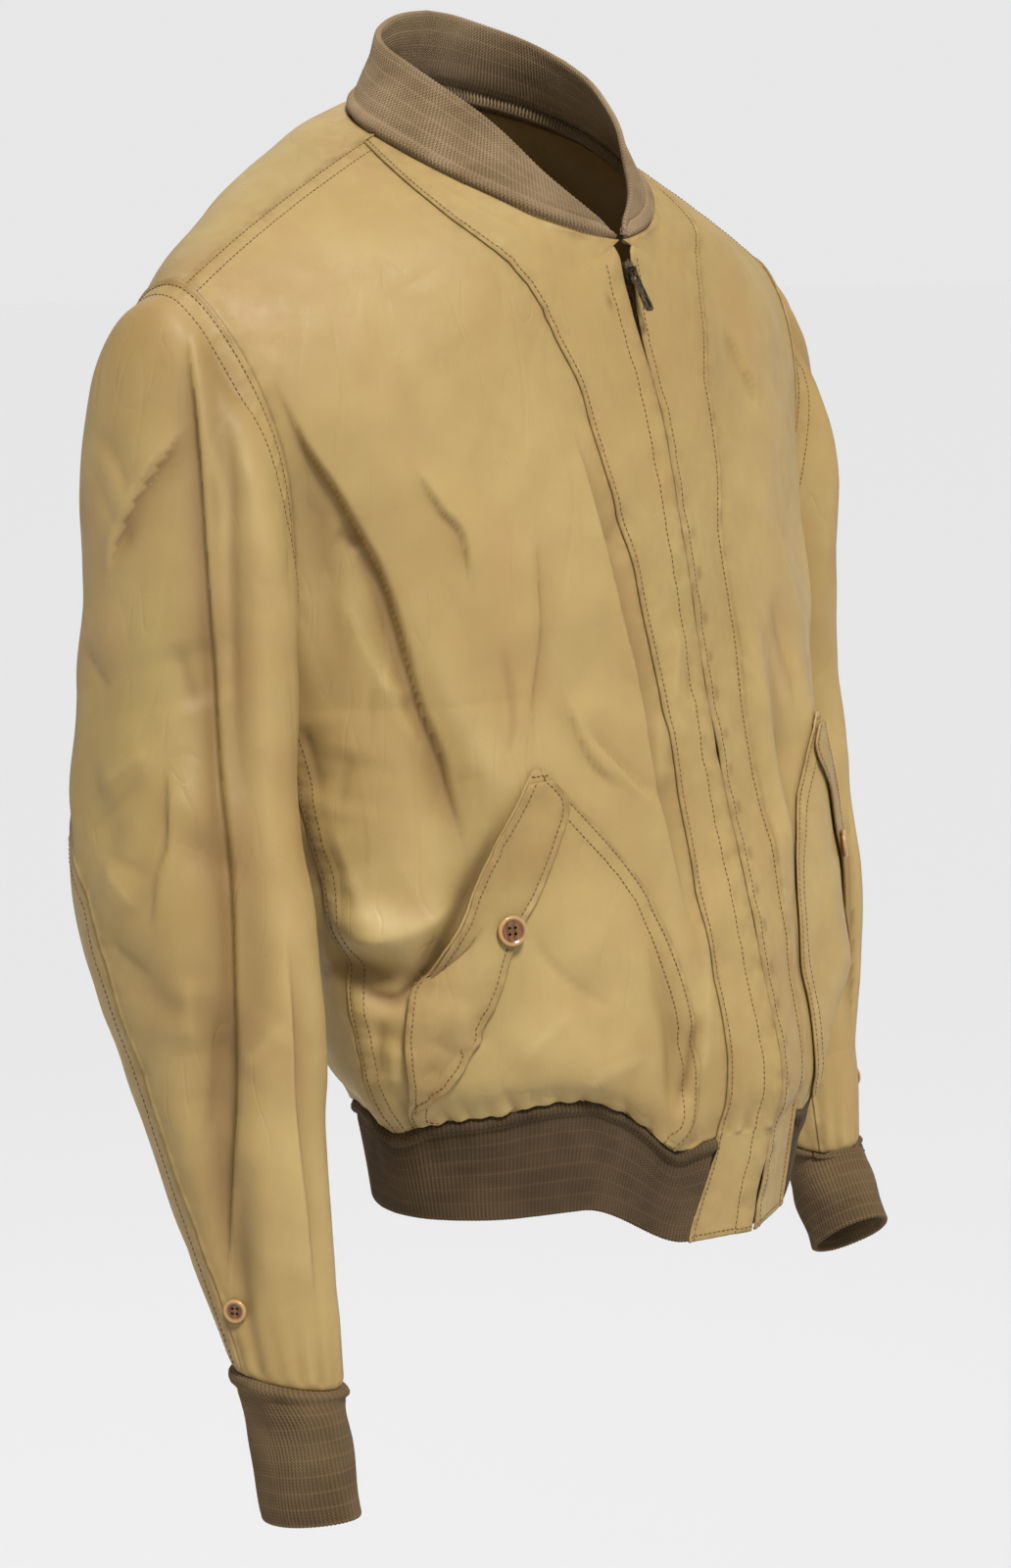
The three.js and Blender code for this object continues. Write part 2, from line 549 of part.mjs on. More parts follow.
function collarGrid() {
  const places = [];
  for (const t of NECKLINE_ROWS) places.push(["front", RIGHT, t]);
  for (const t of [...NECKLINE_ROWS].reverse().slice(1)) places.push(["back", RIGHT, t]);
  for (const t of NECKLINE_ROWS.slice(1)) places.push(["back", LEFT, t]);
  for (const t of [...NECKLINE_ROWS].reverse().slice(1)) places.push(["front", LEFT, t]);
  const travelled = places.map(() => 0);
  places.forEach(([half, side, t], k) => {
    if (k > 0) travelled[k] = travelled[k - 1] + length(sub(neckPoint(half, side, t), neckPoint(...places[k - 1])));
  });
  const total = travelled[travelled.length - 1];
  return places.map(([half, side, t], k) => {
    const height = collarHeight(Math.min(travelled[k], total - travelled[k]));
    const up = collarUp(half, side, t);
    const out = collarOut(half, side, t);
    const stand = [0.33, 0.66, 1].map((f) => ROLL_HEIGHT + f * (height - ROLL_HEIGHT + 0.6));
    const levels = [SEAM_GAP + 0.3, 0.5 * ROLL_HEIGHT, ROLL_HEIGHT, ...stand];
    const skin = torsoFace(half, side, 1, t);
    return levels.map((h, j) => ({
      point: add(add(neckPoint(half, side, t), up, h), out, roll(h)),
      out: j === 0 ? miter(skin, out) : out,
    }));
  });
}

// Waistband from tab to tab
function waistbandGrid() {
  const places = [];
  for (const share of steps(1, 0, SIDE_COLUMNS)) places.push(["front", RIGHT, share]);
  for (const share of steps(0, 1, BACK_COLUMNS).slice(1)) places.push(["back", RIGHT, share]);
  for (const share of steps(1, 0, BACK_COLUMNS).slice(1)) places.push(["back", LEFT, share]);
  for (const share of steps(0, 1, SIDE_COLUMNS).slice(1)) places.push(["front", LEFT, share]);
  return places.map(([half, side, share]) =>
    BAND_ROWS.map((t) => {
      const seam = half === "front" ? panelSeam(side, t) : 1;
      const [ds, dt] = seamStep(half, side, share * seam, Math.min(t, 0.99));
      const s = half === "front" ? Math.min(share * seam, seam - ds) : share;
      const level = Math.min(t, BAND_SEAM - dt);
      const out = t === BAND_SEAM ? bandMiter(half, side, s) : torsoFace(half, side, s, level, true);
      const drop = (BAND_SEAM - t) * BAND_HEIGHT;
      return { point: add(torso(half, side, s, level), out, roll(drop)), out };
    }),
  );
}

// Cuffs hang on from the last sleeve ring; f runs from the seam (0) to the open end (1).
const CUFFS = {
  right: { hang: [-1, -15, -78], across: 19, deep: 33 },
  left: { hang: [-18, -40, -58], across: 21, deep: 30 },
};
function cuffBase(side, u, f) {
  const cuff = side === RIGHT ? CUFFS.right : CUFFS.left;
  const ring = sleeveRings(side)[SLEEVE_END - 1];
  const axis = unit(cuff.hang);
  const outward = unit(add([1, 0, 0], axis, -axis[0]));
  const forward = unit(add(add([0, -1, 0], axis, axis[1]), outward, outward[1]));
  const turned = smooth(f / 0.35);
  const a = mix(ring.outward, scale(outward, cuff.across), turned);
  const b = mix(ring.forward, scale(forward, cuff.deep), turned);
  const angle = 2 * Math.PI * u;
  const centre = add(ring.centre, cuff.hang, f);
  return mirror(add(add(centre, a, Math.cos(angle)), b, Math.sin(angle)), side);
}
function cuffFace(side, u, f) {
  const level = clamp(f, NEAR, 1 - NEAR);
  const round = sub(cuffBase(side, u + NEAR, level), cuffBase(side, u - NEAR, level));
  const down = sub(cuffBase(side, u, level + NEAR), cuffBase(side, u, level - NEAR));
  return scale(unit(cross(round, down)), side);
}
const CUFF_ROWS = [0, 0.06, 0.12, 0.3, 0.55, 0.8, 1];
function cuffGrid(side) {
  return ARMHOLE_U.slice(0, -1).map((start) => {
    const turn = start < BACK_SEAM_U - 1e-6 ? start + 1 : start;
    const u = turn + driftShare(turn) * backDrift(side, SLEEVE_END);
    return CUFF_ROWS.map((f) => {
      const out = f === 0 ? miter(sleeveFace(side, u, SLEEVE_END), cuffFace(side, u, 0)) : cuffFace(side, u, f);
      const level = Math.max(f, SEAM_GAP / 2 / CUFF_LENGTH);
      return { point: add(cuffBase(side, u, level), out, roll(f * CUFF_LENGTH)), out };
    });
  });
}

// What lies on a panel is made from the panel's own flat facets: a and b run 0 to 1 over its grid.
function onGrid(grid, a, b) {
  const [x, y] = [a * (grid.length - 1), b * (grid[0].length - 1)];
  const [i, j] = [clamp(Math.floor(x), 0, grid.length - 2), clamp(Math.floor(y), 0, grid[0].length - 2)];
  const [fx, fy] = [x - i, y - j];
  const at = (di, dj) => grid[i + di][j + dj];
  const blend = (key) =>
    fx > fy
      ? add(add(at(0, 0)[key], sub(at(1, 0)[key], at(0, 0)[key]), fx), sub(at(1, 1)[key], at(1, 0)[key]), fy)
      : add(add(at(0, 0)[key], sub(at(1, 1)[key], at(0, 1)[key]), fx), sub(at(0, 1)[key], at(0, 0)[key]), fy);
  return { point: blend("point"), out: unit(blend("out")) };
}
function rowShare(t) {
  const k = clamp(TORSO_ROWS.findIndex((row) => row >= t), 1, TORSO_ROWS.length - 1);
  return (k - 1 + (t - TORSO_ROWS[k - 1]) / (TORSO_ROWS[k] - TORSO_ROWS[k - 1])) / (TORSO_ROWS.length - 1);
}

// Pocket outline on the side panel, as [t, share of the panel's width]: the hem, the slanted mouth and the front edge
const POCKET_BACK = [[1, 0.08], [1.8, 0.15], [2.47, 0.215], [3.127, 0.443], [3.66, 0.645]];
const POCKET_FRONT = [[1, 0.86], [1.6, 0.9], [2.2, 0.917], [2.944, 0.862], [3.406, 0.745], [3.66, 0.672]];
const POCKET_ROWS = [1.06, ...TORSO_ROWS.filter((t) => t > 1.1 && t < 3.6), 3.52, 3.66];
const POCKET_COLUMNS = 11;
const POCKET_LIFT = 1;
const POCKET_THICKNESS = 1.4;
const POCKET_GAPE = 6;
const MOUTH_FROM = 2.3;
const MOUTH_TO = 3.66;

// A number that follows a list of [t, value] pairs along straight lines.
function straight(pairs, t) {
  const k = clamp(pairs.findIndex((p) => p[0] >= t), 1, pairs.length - 1);
  const [[t0, v0], [t1, v1]] = [pairs[k - 1], pairs[k]];
  return v0 + (v1 - v0) * clamp((t - t0) / (t1 - t0), 0, 1);
}

function pocketGrid(panel) {
  return steps(0, 1, POCKET_COLUMNS).map((a) =>
    POCKET_ROWS.map((t) => {
      const share = straight(POCKET_BACK, t) * (1 - a) + straight(POCKET_FRONT, t) * a;
      const { point, out } = onGrid(panel, share, rowShare(t));
      const full = Math.sin(Math.PI * a) * Math.sin((Math.PI * (t - 1)) / 2.66);
      const open = Math.sin(Math.PI * clamp((t - MOUTH_FROM) / (MOUTH_TO - MOUTH_FROM), 0, 1)) ** 2;
      const lift = POCKET_LIFT + 1.6 * full + POCKET_GAPE * (1 - a) ** 2 * open;
      return { point: add(point, out, lift + POCKET_THICKNESS), out };
    }),
  );
}

// The band along the mouth, as [t, share of the pocket's width]
const MOUTH_BAND = [[1.4, 0.03], [1.8, 0.14], [2.47, 0.3], [2.94, 0.36], [3.33, 0.6], [3.52, 0.93]];
const MOUTH_BAND_COLUMNS = 5;
const MOUTH_BAND_LIFT = 1.05;
function mouthBandGrid(pocket) {
  const rows = POCKET_ROWS.filter((t) => t >= MOUTH_BAND[0][0] && t <= 3.52);
  return steps(0, 1, MOUTH_BAND_COLUMNS).map((share) =>
    rows.map((t) => {
      const a = 0.004 + share * straight(MOUTH_BAND, t);
      const { point, out } = onGrid(pocket, a, POCKET_ROWS.indexOf(t) / (POCKET_ROWS.length - 1));
      return { point: add(point, out, MOUTH_BAND_LIFT + POCKET_THICKNESS), out };
    }),
  );
}

// Hard pieces, cut from simple bodies and then set in place
function solid(geometry) {
  const bare = geometry.clone();
  bare.deleteAttribute("normal");
  bare.deleteAttribute("uv");
  const merged = mergeVertices(bare, 1e-4);
  const vertProperties = Float32Array.from(merged.attributes.position.array);
  const triVerts = Uint32Array.from(merged.index.array);
  return new wasm.Manifold(new wasm.Mesh({ numProp: 3, vertProperties, triVerts }));
}
function geometryOf(body) {
  const { vertProperties, triVerts } = body.getMesh();
  const geometry = new THREE.BufferGeometry();
  geometry.setAttribute("position", new THREE.BufferAttribute(vertProperties, 3));
  geometry.setIndex(new THREE.BufferAttribute(triVerts, 1));
  return geometry;
}
// Lays a geometry's x, y and z along three directions from a point.
function setOn(geometry, origin, x, y, z) {
  const basis = new THREE.Matrix4().makeBasis(...[x, y, z].map((axis) => new THREE.Vector3(...axis)));
  return geometry.applyMatrix4(basis.setPosition(...origin));
}
const shapeOf = (corners) => new THREE.Shape(corners.map(([x, y]) => new THREE.Vector2(x, y)));
const slab = (size, at) => solid(new THREE.BoxGeometry(...size).translate(...at));

// A four-hole button with a raised rim, standing on z = 0
const BUTTON_SEGMENTS = 18;
function buttonGeometry(radius, height) {
  const outline = [
    [0, 0], [radius - 1, 0], [radius, 0.9], [radius, height - 0.8], [radius - 0.8, height],
    [radius - 2, height], [radius - 2.7, height - 0.8], [0, height - 0.8],
  ];
  const disc = new THREE.LatheGeometry(outline.map(([x, y]) => new THREE.Vector2(x, y)), BUTTON_SEGMENTS);
  let body = solid(disc.rotateX(Math.PI / 2));
  for (const [x, y] of [[1, 1], [1, -1], [-1, 1], [-1, -1]]) {
    const hole = new THREE.CylinderGeometry(0.8, 0.8, 3 * height, 8).rotateX(Math.PI / 2);
    body = body.subtract(solid(hole.translate(x * radius * 0.2, y * radius * 0.2, 0)));
  }
  return geometryOf(body);
}
function buttonOn(corner, radius, height, clear) {
  const x = unit(cross([0, 0, 1], corner.out));
  const y = cross(corner.out, x);
  return setOn(buttonGeometry(radius, height), add(corner.point, corner.out, clear), x, y, corner.out);
}

// Zip: tapes behind the front edges, the chain between them, the slider at the neck and its pull
const TAPE_THICKNESS = 0.9;
const TAPE_INNER = 4.6;
const TAPE_OUTER = 15;
const BEHIND = LEATHER + 0.6;
const CHAIN_HALF_WIDTH = 2.9;
const CHAIN_THICKNESS = 2.4;
const CHAIN_DEPTH = LEATHER + 1.9;
const ZIP_ROWS = [0.03, ...BAND_ROWS.slice(1, -1), ...TORSO_ROWS.filter((t) => t < NECK_ROW), 5.93];

function tapeGrid(side) {
  return [TAPE_INNER, TAPE_OUTER].map((width) =>
    ZIP_ROWS.map((t) => {
      const s = sAtWidth(side, t, width);
      const out = t === BAND_SEAM ? bandMiter("front", side, s) : torsoFace("front", side, s, t);
      return { point: add(torso("front", side, s, t), out, -BEHIND), out };
    }),
  );
}
function zipFrame(t) {
  const side = (s) => (t === BAND_SEAM ? bandMiter("front", s, 1) : torsoFace("front", s, 1, t));
  const out = miter(side(RIGHT), side(LEFT));
  const x = unit(add([1, 0, 0], out, -out[0]));
  return { point: torso("front", RIGHT, 1, t), out, x };
}
function chainGrid() {
  return [-CHAIN_HALF_WIDTH, CHAIN_HALF_WIDTH].map((width) =>
    ZIP_ROWS.map((t) => {
      const { point, out, x } = zipFrame(t);
      return { point: add(add(point, x, width), out, -CHAIN_DEPTH), out };
    }),
  );
}

// Slider and pull share one frame: x across, y up the zip, z out of the chest
const SLIDER_T = 5.87;
const SLIDER_WIDTH = 7.2;
const SLIDER_LENGTH = 13;
const SLIDER_FRONT = 1.6;
const BAIL_WIDTH = 2;
const BAIL_WINDOW = [3.4, 2.8];
const BAIL_BAR = 1.1;
const PULL_WIDTH = 6.4;
const PULL_LENGTH = 25;
const PULL_THICKNESS = 1.5;
const PULL_TILT = 16 * (Math.PI / 180);

function sliderFrame() {
  const { point, out, x } = zipFrame(SLIDER_T);
  return { origin: point, x, y: cross(out, x), z: out };
}
function sliderGeometry() {
  const depth = CHAIN_DEPTH - SEAM_GAP + SLIDER_FRONT;
  const [half, low, high] = [SLIDER_WIDTH / 2, -SLIDER_LENGTH / 2, SLIDER_LENGTH / 2];
  const outline = [
    [0.6 * -half, low], [0.6 * half, low], [half, 0.3 * high], [half, 0.76 * high],
    [0.66 * half, high], [0.66 * -half, high], [-half, 0.76 * high], [-half, 0.3 * high],
  ];
  const block = new THREE.ExtrudeGeometry(shapeOf(outline), { depth, bevelEnabled: false });
  const [windowLength, windowHeight] = BAIL_WINDOW;
  const archHeight = windowHeight + BAIL_BAR + 0.4;
  const archLength = windowLength + 2 * BAIL_BAR;
  const arch = slab([BAIL_WIDTH, archLength, archHeight], [0, 0, SLIDER_FRONT - 0.4 + archHeight / 2]);
  const window = slab([2 * BAIL_WIDTH, windowLength, windowHeight], [0, 0, SLIDER_FRONT + windowHeight / 2]);
  return geometryOf(solid(block.translate(0, 0, SLIDER_FRONT - depth)).add(arch).subtract(window));
}

// The pull hangs from a bar through the slider's arch, has a window round the arch and a slot near its end.
const PULL_AXIS_HEIGHT = SLIDER_FRONT + BAIL_WINDOW[1] / 2;
const PULL_BAR = 1.3;
const PULL_EYE = [BAIL_WIDTH + 1.4, 4.4];
const PULL_SLOT = [2.4, 6];
function pullGeometry() {
  const half = PULL_WIDTH / 2;
  const top = PULL_BAR / 2;
  const end = -PULL_LENGTH;
  const sideLine = [[half - 0.8, top], [half, -0.4], [half - 0.5, -9], [half, end + 2], [half - 1.2, end]];
  const otherSide = sideLine.map(([x, y]) => [-x, y]).reverse();
  const outline = shapeOf([...otherSide, ...sideLine]);
  const plate = new THREE.ExtrudeGeometry(outline, { depth: PULL_THICKNESS, bevelEnabled: false });
  const cut = ([width, tall], y) => slab([width, tall, 2 * PULL_THICKNESS], [0, y - tall / 2, 0]);
  const body = solid(plate.translate(0, 0, -PULL_THICKNESS / 2));
  return geometryOf(body.subtract(cut(PULL_EYE, -top)).subtract(cut(PULL_SLOT, end + 8)));
}

// Materials
const paint = (color, roughness, metalness = 0) => new THREE.MeshStandardMaterial({ color, roughness, metalness });
const LEATHER_TAN = paint(0xb9985f, 0.6);
const RIB_KNIT = paint(0x6e573c, 0.95);
const TAPE_BROWN = paint(0x4a3a28, 0.9);
const OLD_BRASS = paint(0x51422c, 0.45, 0.8);
const BUTTON_HORN = paint(0x6b4423, 0.5);

const jacket = new THREE.Group();
jacket.name = "leather_jacket";
function piece(name, geometry, material) {
  const mesh = new THREE.Mesh(geometry, material);
  mesh.name = name;
  jacket.add(mesh);
}

piece("back", backPanel(), LEATHER_TAN);
piece("collar", gridWall(collarGrid(), KNIT), RIB_KNIT);
piece("waistband", gridWall(waistbandGrid(), KNIT), RIB_KNIT);
for (const side of [RIGHT, LEFT]) {
  const name = side === RIGHT ? "right" : "left";
  const sidePanel = frontSide(side);
  const pocket = pocketGrid(sidePanel.grid);
  const band = mouthBandGrid(pocket);
  const upper = sleevePanel(side, BACK_SEAM_U, FRONT_SEAM_U);
  const under = sleevePanel(side, FRONT_SEAM_U, 1 + BACK_SEAM_U);
  piece(`front_side_${name}`, sidePanel.geometry, LEATHER_TAN);
  piece(`front_centre_${name}`, frontCentre(side).geometry, LEATHER_TAN);
  piece(`sleeve_upper_${name}`, upper.geometry, LEATHER_TAN);
  piece(`sleeve_under_${name}`, under.geometry, LEATHER_TAN);
  piece(`cuff_${name}`, gridWall(cuffGrid(side), KNIT, true), RIB_KNIT);
  piece(`pocket_${name}`, gridWall(pocket, POCKET_THICKNESS), LEATHER_TAN);
  piece(`pocket_band_${name}`, gridWall(band, POCKET_THICKNESS), LEATHER_TAN);
  piece(`pocket_button_${name}`, buttonOn(onGrid(band, 0.78, 0.7), 8.5, 3.4, 0.9), BUTTON_HORN);
  const onSleeve = onGrid(upper.grid, side === RIGHT ? 0.06 : 0.1, 0.94);
  piece(`sleeve_button_${name}`, buttonOn(onSleeve, 6.5, 3, 0.7), BUTTON_HORN);
  piece(`zip_tape_${name}`, gridWall(tapeGrid(side), TAPE_THICKNESS), TAPE_BROWN);
}
piece("zip_chain", gridWall(chainGrid(), CHAIN_THICKNESS), OLD_BRASS);
const { origin, x, y, z } = sliderFrame();
piece("zip_slider", setOn(sliderGeometry(), origin, x, y, z), OLD_BRASS);
const pullY = add(scale(y, Math.cos(PULL_TILT)), z, -Math.sin(PULL_TILT));
const pullZ = add(scale(z, Math.cos(PULL_TILT)), y, Math.sin(PULL_TILT));
piece("zip_pull", setOn(pullGeometry(), add(origin, z, PULL_AXIS_HEIGHT), x, pullY, pullZ), OLD_BRASS);

export default jacket;
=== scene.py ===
"""The looks of a worn tan leather blouson with rib knit trims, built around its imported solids."""

import math

import bpy
import numpy as np
from mathutils import Matrix, Vector


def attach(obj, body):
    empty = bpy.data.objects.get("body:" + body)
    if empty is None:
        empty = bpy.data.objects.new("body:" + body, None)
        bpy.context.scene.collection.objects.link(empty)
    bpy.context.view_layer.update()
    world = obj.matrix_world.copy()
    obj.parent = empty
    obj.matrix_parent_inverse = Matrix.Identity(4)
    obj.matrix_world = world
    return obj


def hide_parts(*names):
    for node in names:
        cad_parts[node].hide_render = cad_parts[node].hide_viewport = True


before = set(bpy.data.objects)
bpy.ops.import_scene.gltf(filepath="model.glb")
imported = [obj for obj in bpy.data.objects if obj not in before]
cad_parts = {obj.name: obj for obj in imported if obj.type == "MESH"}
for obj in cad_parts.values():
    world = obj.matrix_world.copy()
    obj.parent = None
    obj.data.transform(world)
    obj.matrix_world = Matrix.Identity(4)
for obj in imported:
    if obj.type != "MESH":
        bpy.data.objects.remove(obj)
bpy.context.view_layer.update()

# Sizes in millimetres, the same as the solids'. The front faces -Y and the wearer's right is -X.
MM = 0.001
RIGHT, LEFT = -1, 1
SIDES = {"right": RIGHT, "left": LEFT}
LEATHER = 1.6
KNIT = 3.2
FRONT_NECK = (0, -94, -62)
BACK_NECK = (0, 70, 30)
SIDE_NECK = (92, 10, 0)
SHOULDER_TIP = (252, 2, -78)
UNDERARM = (220, -22, -308)
NECK_CENTRE = (0, -12, 0)
ROUND = 0.58
NECK_ROUND = 0.56
ZIP_EDGE = 0.7
ZIP_MOUTH = 5.6
ZIP_MOUTH_FROM = 5.45
COLLAR_HEIGHT = 47
COLLAR_END_HEIGHT = 9
COLLAR_RISE = 112
COLLAR_LEAN = math.radians(26)
ROLL_HEIGHT = 9
BAND_HEIGHT = 62
CUFF_LENGTH = 78

# Rows of the torso, from the hem up
HEM, BAND_SEAM, UNDERARM_ROW, NECK_ROW, SHOULDER_ROW = 0, 1, 4, 6, 7
SLEEVE_END = 5


# Numbers and vectors
def unit(v):
    return v / np.maximum(np.linalg.norm(v, axis=-1, keepdims=True), 1e-9)


def dot(a, b):
    return (a * b).sum(-1, keepdims=True)


def smooth(x):
    x = np.clip(x, 0, 1)
    return x * x * (3 - 2 * x)


def bump(x):
    return np.exp(-np.square(x))


def bezier(a, b, c, d, k):
    m = 1 - k
    return a * m**3 + 3 * b * m * m * k + 3 * c * m * k * k + d * k**3


def along(pairs, t):
    """A number that follows (t, value) pairs along smooth steps."""
    knots = np.array(pairs, float)
    k = np.clip(np.searchsorted(knots[:, 0], t), 1, len(knots) - 1)
    low, high = knots[k - 1], knots[k]
    share = smooth((t - low[..., 0]) / (high[..., 0] - low[..., 0]))
    return low[..., 1] + (high[..., 1] - low[..., 1]) * share


def curve(pairs, t):
    """A number that follows (t, value) pairs along one smooth curve."""
    knots, values = np.array(pairs, float).T
    slopes = np.gradient(values, knots)
    k = np.clip(np.searchsorted(knots, t) - 1, 0, len(knots) - 2)
    span = knots[k + 1] - knots[k]
    f = np.clip((t - knots[k]) / span, 0, 1)
    first = values[k] + slopes[k] * span / 3
    second = values[k + 1] - slopes[k + 1] * span / 3
    return bezier(values[k], first, second, values[k + 1], f)


def through(rows, t, breaks=()):
    """Points at t on a smooth curve through rows at 0, 1, 2, ...; it may turn a corner at a break."""
    last = len(rows) - 1

    def slope(row, start):
        corner = row in breaks
        before = row - 1 if row > 0 and not (corner and start == row) else row
        after = row + 1 if row < last and not (corner and start < row) else row
        return (rows[after] - rows[before]) / (after - before)

    made = np.zeros(t.shape + (3,))
    place = np.clip(np.floor(t), 0, last - 1)
    for k in range(last):
        here = place == k
        if not here.any():
            continue
        a, b, from_a, to_b = (
            v[here] if v.ndim > 1 else v
            for v in (rows[k], rows[k + 1], slope(k, k) / 3, slope(k + 1, k) / 3)
        )
        made[here] = bezier(a, a + from_a, b - to_b, b, (t[here] - k)[:, None])
    return made


def path_length(line):
    """Distance travelled along a line of points."""
    steps = np.linalg.norm(np.diff(line, axis=0), axis=-1)
    return np.concatenate([[0], np.cumsum(steps)])


def resample(values, run, places):
    """Columns of values read at other places along a run."""
    return np.stack([np.interp(places, run, column) for column in values.T], -1)


def spread(length, fine, coarse, reach):
    """Places from 0 to 1 along a length, closer together near both ends."""
    places = [0.0]
    while places[-1] < length:
        near = min(places[-1], length - places[-1])
        places.append(places[-1] + fine + (coarse - fine) * float(smooth(near / reach)))
    return np.array(places) / places[-1]


WAVES = 14
DRAWN_OUT = (1, 1, 0.45)
CRUMPLE_WIDTH = 0.4


def ripple(p, wavelength, seed):
    """A gentle uneven swell through space, about -1 to 1."""
    rng = np.random.default_rng(seed)
    waves = unit(rng.normal(size=(WAVES, 3))) * rng.uniform(0.7, 1.4, (WAVES, 1)) * 2 * np.pi / wavelength
    return np.sin(p @ waves.T + rng.uniform(0, 2 * np.pi, WAVES)).sum(-1) / 4


def crumple(p, wavelength, seed):
    """Thin creases that come and go along winding lines, drawn out downwards."""
    drawn = p * DRAWN_OUT
    line = np.exp(-np.abs(ripple(drawn, wavelength, seed)) / CRUMPLE_WIDTH)
    return -line * smooth(0.5 + 0.9 * ripple(drawn, 2.2 * wavelength, seed + 1))


def swell(waves, p):
    """The sum of ripples and crumples, each given by its form, height, wavelength and seed."""
    return sum(height * form(p, wavelength, seed) for form, height, wavelength, seed in waves)


def pucker(run, pitch):
    """An uneven wave along a seam."""
    turn = 2 * np.pi * run / pitch
    return (np.sin(turn) + 0.7 * np.sin(turn / 1.61 + 1.3) + 0.5 * np.sin(turn / 2.7 + 2.1)) / 1.6


# Torso: s runs from the side (0) to the centre (1), t from the hem to the shoulder seam
def quarter(side, centre, point=0.0):
    return {
        "side": side,
        "centre": centre,
        "sideHandle": (0, ROUND * (centre[1] - side[1]), 0.1 * (centre[2] - side[2])),
        "centreHandle": ((ROUND - point) * side[0], -0.4 * point * centre[1], 0.5 * (side[2] - centre[2])),
    }


def section(side, side_handle, centre_handle, centre):
    return {"side": side, "sideHandle": side_handle, "centreHandle": centre_handle, "centre": centre}


SIDE_SEAM = [(168, -66, -600), (180, -66, -538), (200, -62, -506), (207, -48, -420), UNDERARM]
SHOULDER = section(SHOULDER_TIP, (-52, 4, 30), (50, -2, -20), SIDE_NECK)
FRONT_ROWS = [
    quarter(SIDE_SEAM[0], (0, -166, -606), 0.24),
    quarter(SIDE_SEAM[1], (0, -177, -543), 0.24),
    quarter(SIDE_SEAM[2], (0, -182, -508), 0.22),
    quarter(SIDE_SEAM[3], (0, -162, -418), 0.16),
    quarter(SIDE_SEAM[4], (0, -143, -310), 0.1),
    section((221, -42, -222), (-34, -50, 4), (100, 4, 0), (0, -127, -202)),
    section((237, -42, -142), (-62, -38, 24), (72, 0, -6), FRONT_NECK),
    SHOULDER,
]
BACK_ROWS = [
    quarter(SIDE_SEAM[0], (0, 30, -602)),
    quarter(SIDE_SEAM[1], (0, 36, -537)),
    quarter(SIDE_SEAM[2], (0, 56, -502)),
    quarter(SIDE_SEAM[3], (0, 68, -410)),
    quarter(SIDE_SEAM[4], (0, 92, -290)),
    section((227, 64, -205), (-52, 38, 12), (108, 0, 0), (0, 104, -140)),
    section((239, 60, -106), (-58, 26, 46), (64, 8, -4), BACK_NECK),
    SHOULDER,
]
HALVES = {
    "front": {"rows": [*FRONT_ROWS, BACK_ROWS[NECK_ROW]], "facing": -1, "neck": FRONT_NECK},
    "back": {"rows": [*BACK_ROWS, FRONT_ROWS[NECK_ROW]], "facing": 1, "neck": BACK_NECK},
}
ZIP_SWING = [(0, 18), (1, 22), (2, 24), (3, 17), (4, 9), (5, 4), (6, 0)]
FRONT_SAG = 29
# Where the leather sags over the waistband seam: s, half width in s and drop
DROOPS = {
    "front": [(0, 0.1, 10), (0.71, 0.06, 8), (0.45, 0.14, -6)],
    "back": [(0, 0.1, 10), (0.4, 0.1, 7), (0.85, 0.1, 6)],
}


def neckline(half, k):
    """The left half of the neck hole, from its front or back point (0) to the side neck point (1)."""
    neck, end = np.array(HALVES[half]["neck"], float), np.array(SIDE_NECK, float)
    across = np.array([NECK_ROUND * end[0], 0, 0.1 * (end[2] - neck[2])])
    away = np.array([0, NECK_ROUND * (neck[1] - end[1]), 0.45 * (neck[2] - end[2])])
    return bezier(neck, neck + across, end + away, end, k[..., None])


def torso_rows(half, side, s, t):
    rows = HALVES[half]["rows"]

    def column(key, breaks):
        return through([np.array(row[key], float) for row in rows], t, breaks)

    edge = column("side", (BAND_SEAM, UNDERARM_ROW))
    centre = column("centre", (BAND_SEAM, NECK_ROW))
    on_neck = neckline(half, np.clip(t - NECK_ROW, 0, 1))
    centre = np.where(t[..., None] > NECK_ROW, on_neck, centre)
    if half == "front":
        centre[..., 0] += side * along(ZIP_SWING, np.minimum(t, NECK_ROW))
    from_edge = edge + column("sideHandle", (BAND_SEAM,))
    from_centre = centre + column("centreHandle", (BAND_SEAM,))
    p = bezier(edge, from_edge, from_centre, centre, s[..., None])
    near = smooth(t / BAND_SEAM) * smooth((2.3 - t) / 1.2)
    p[..., 2] -= near * sum(drop * bump((s - at) / width) for at, width, drop in DROOPS[half])
    if half == "front":
        p[..., 2] -= FRONT_SAG * smooth((s - 0.5) / 0.28) * smooth((3.3 - t) / 1.7)
    return p * (side, 1, 1)


# Steps and shares of a short average along t
EASE_STEPS = ((-1.5, 0.1), (-0.75, 0.24), (0, 0.32), (0.75, 0.24), (1.5, 0.1))


def eased(function, t, reach):
    return sum(share * function(np.clip(t + step * reach, HEM, SHOULDER_ROW)) for step, share in EASE_STEPS)


def torso_base(half, side, s, t):
    """The leather without its folds, eased where its rows turn at the foot of the neck."""
    reach = 0.24 * bump((t - NECK_ROW) / 0.4) * smooth((1 - s) / 0.08)
    return eased(lambda level: torso_rows(half, side, s, level), t, reach)


# How far inside a surface's edges its normals are taken, as a share
INSET = 2e-3


def base_normal(surface, a, b, step=1e-3):
    da = surface(a + step, b) - surface(a - step, b)
    db = surface(a, b + step) - surface(a, b - step)
    return unit(np.cross(da, db))


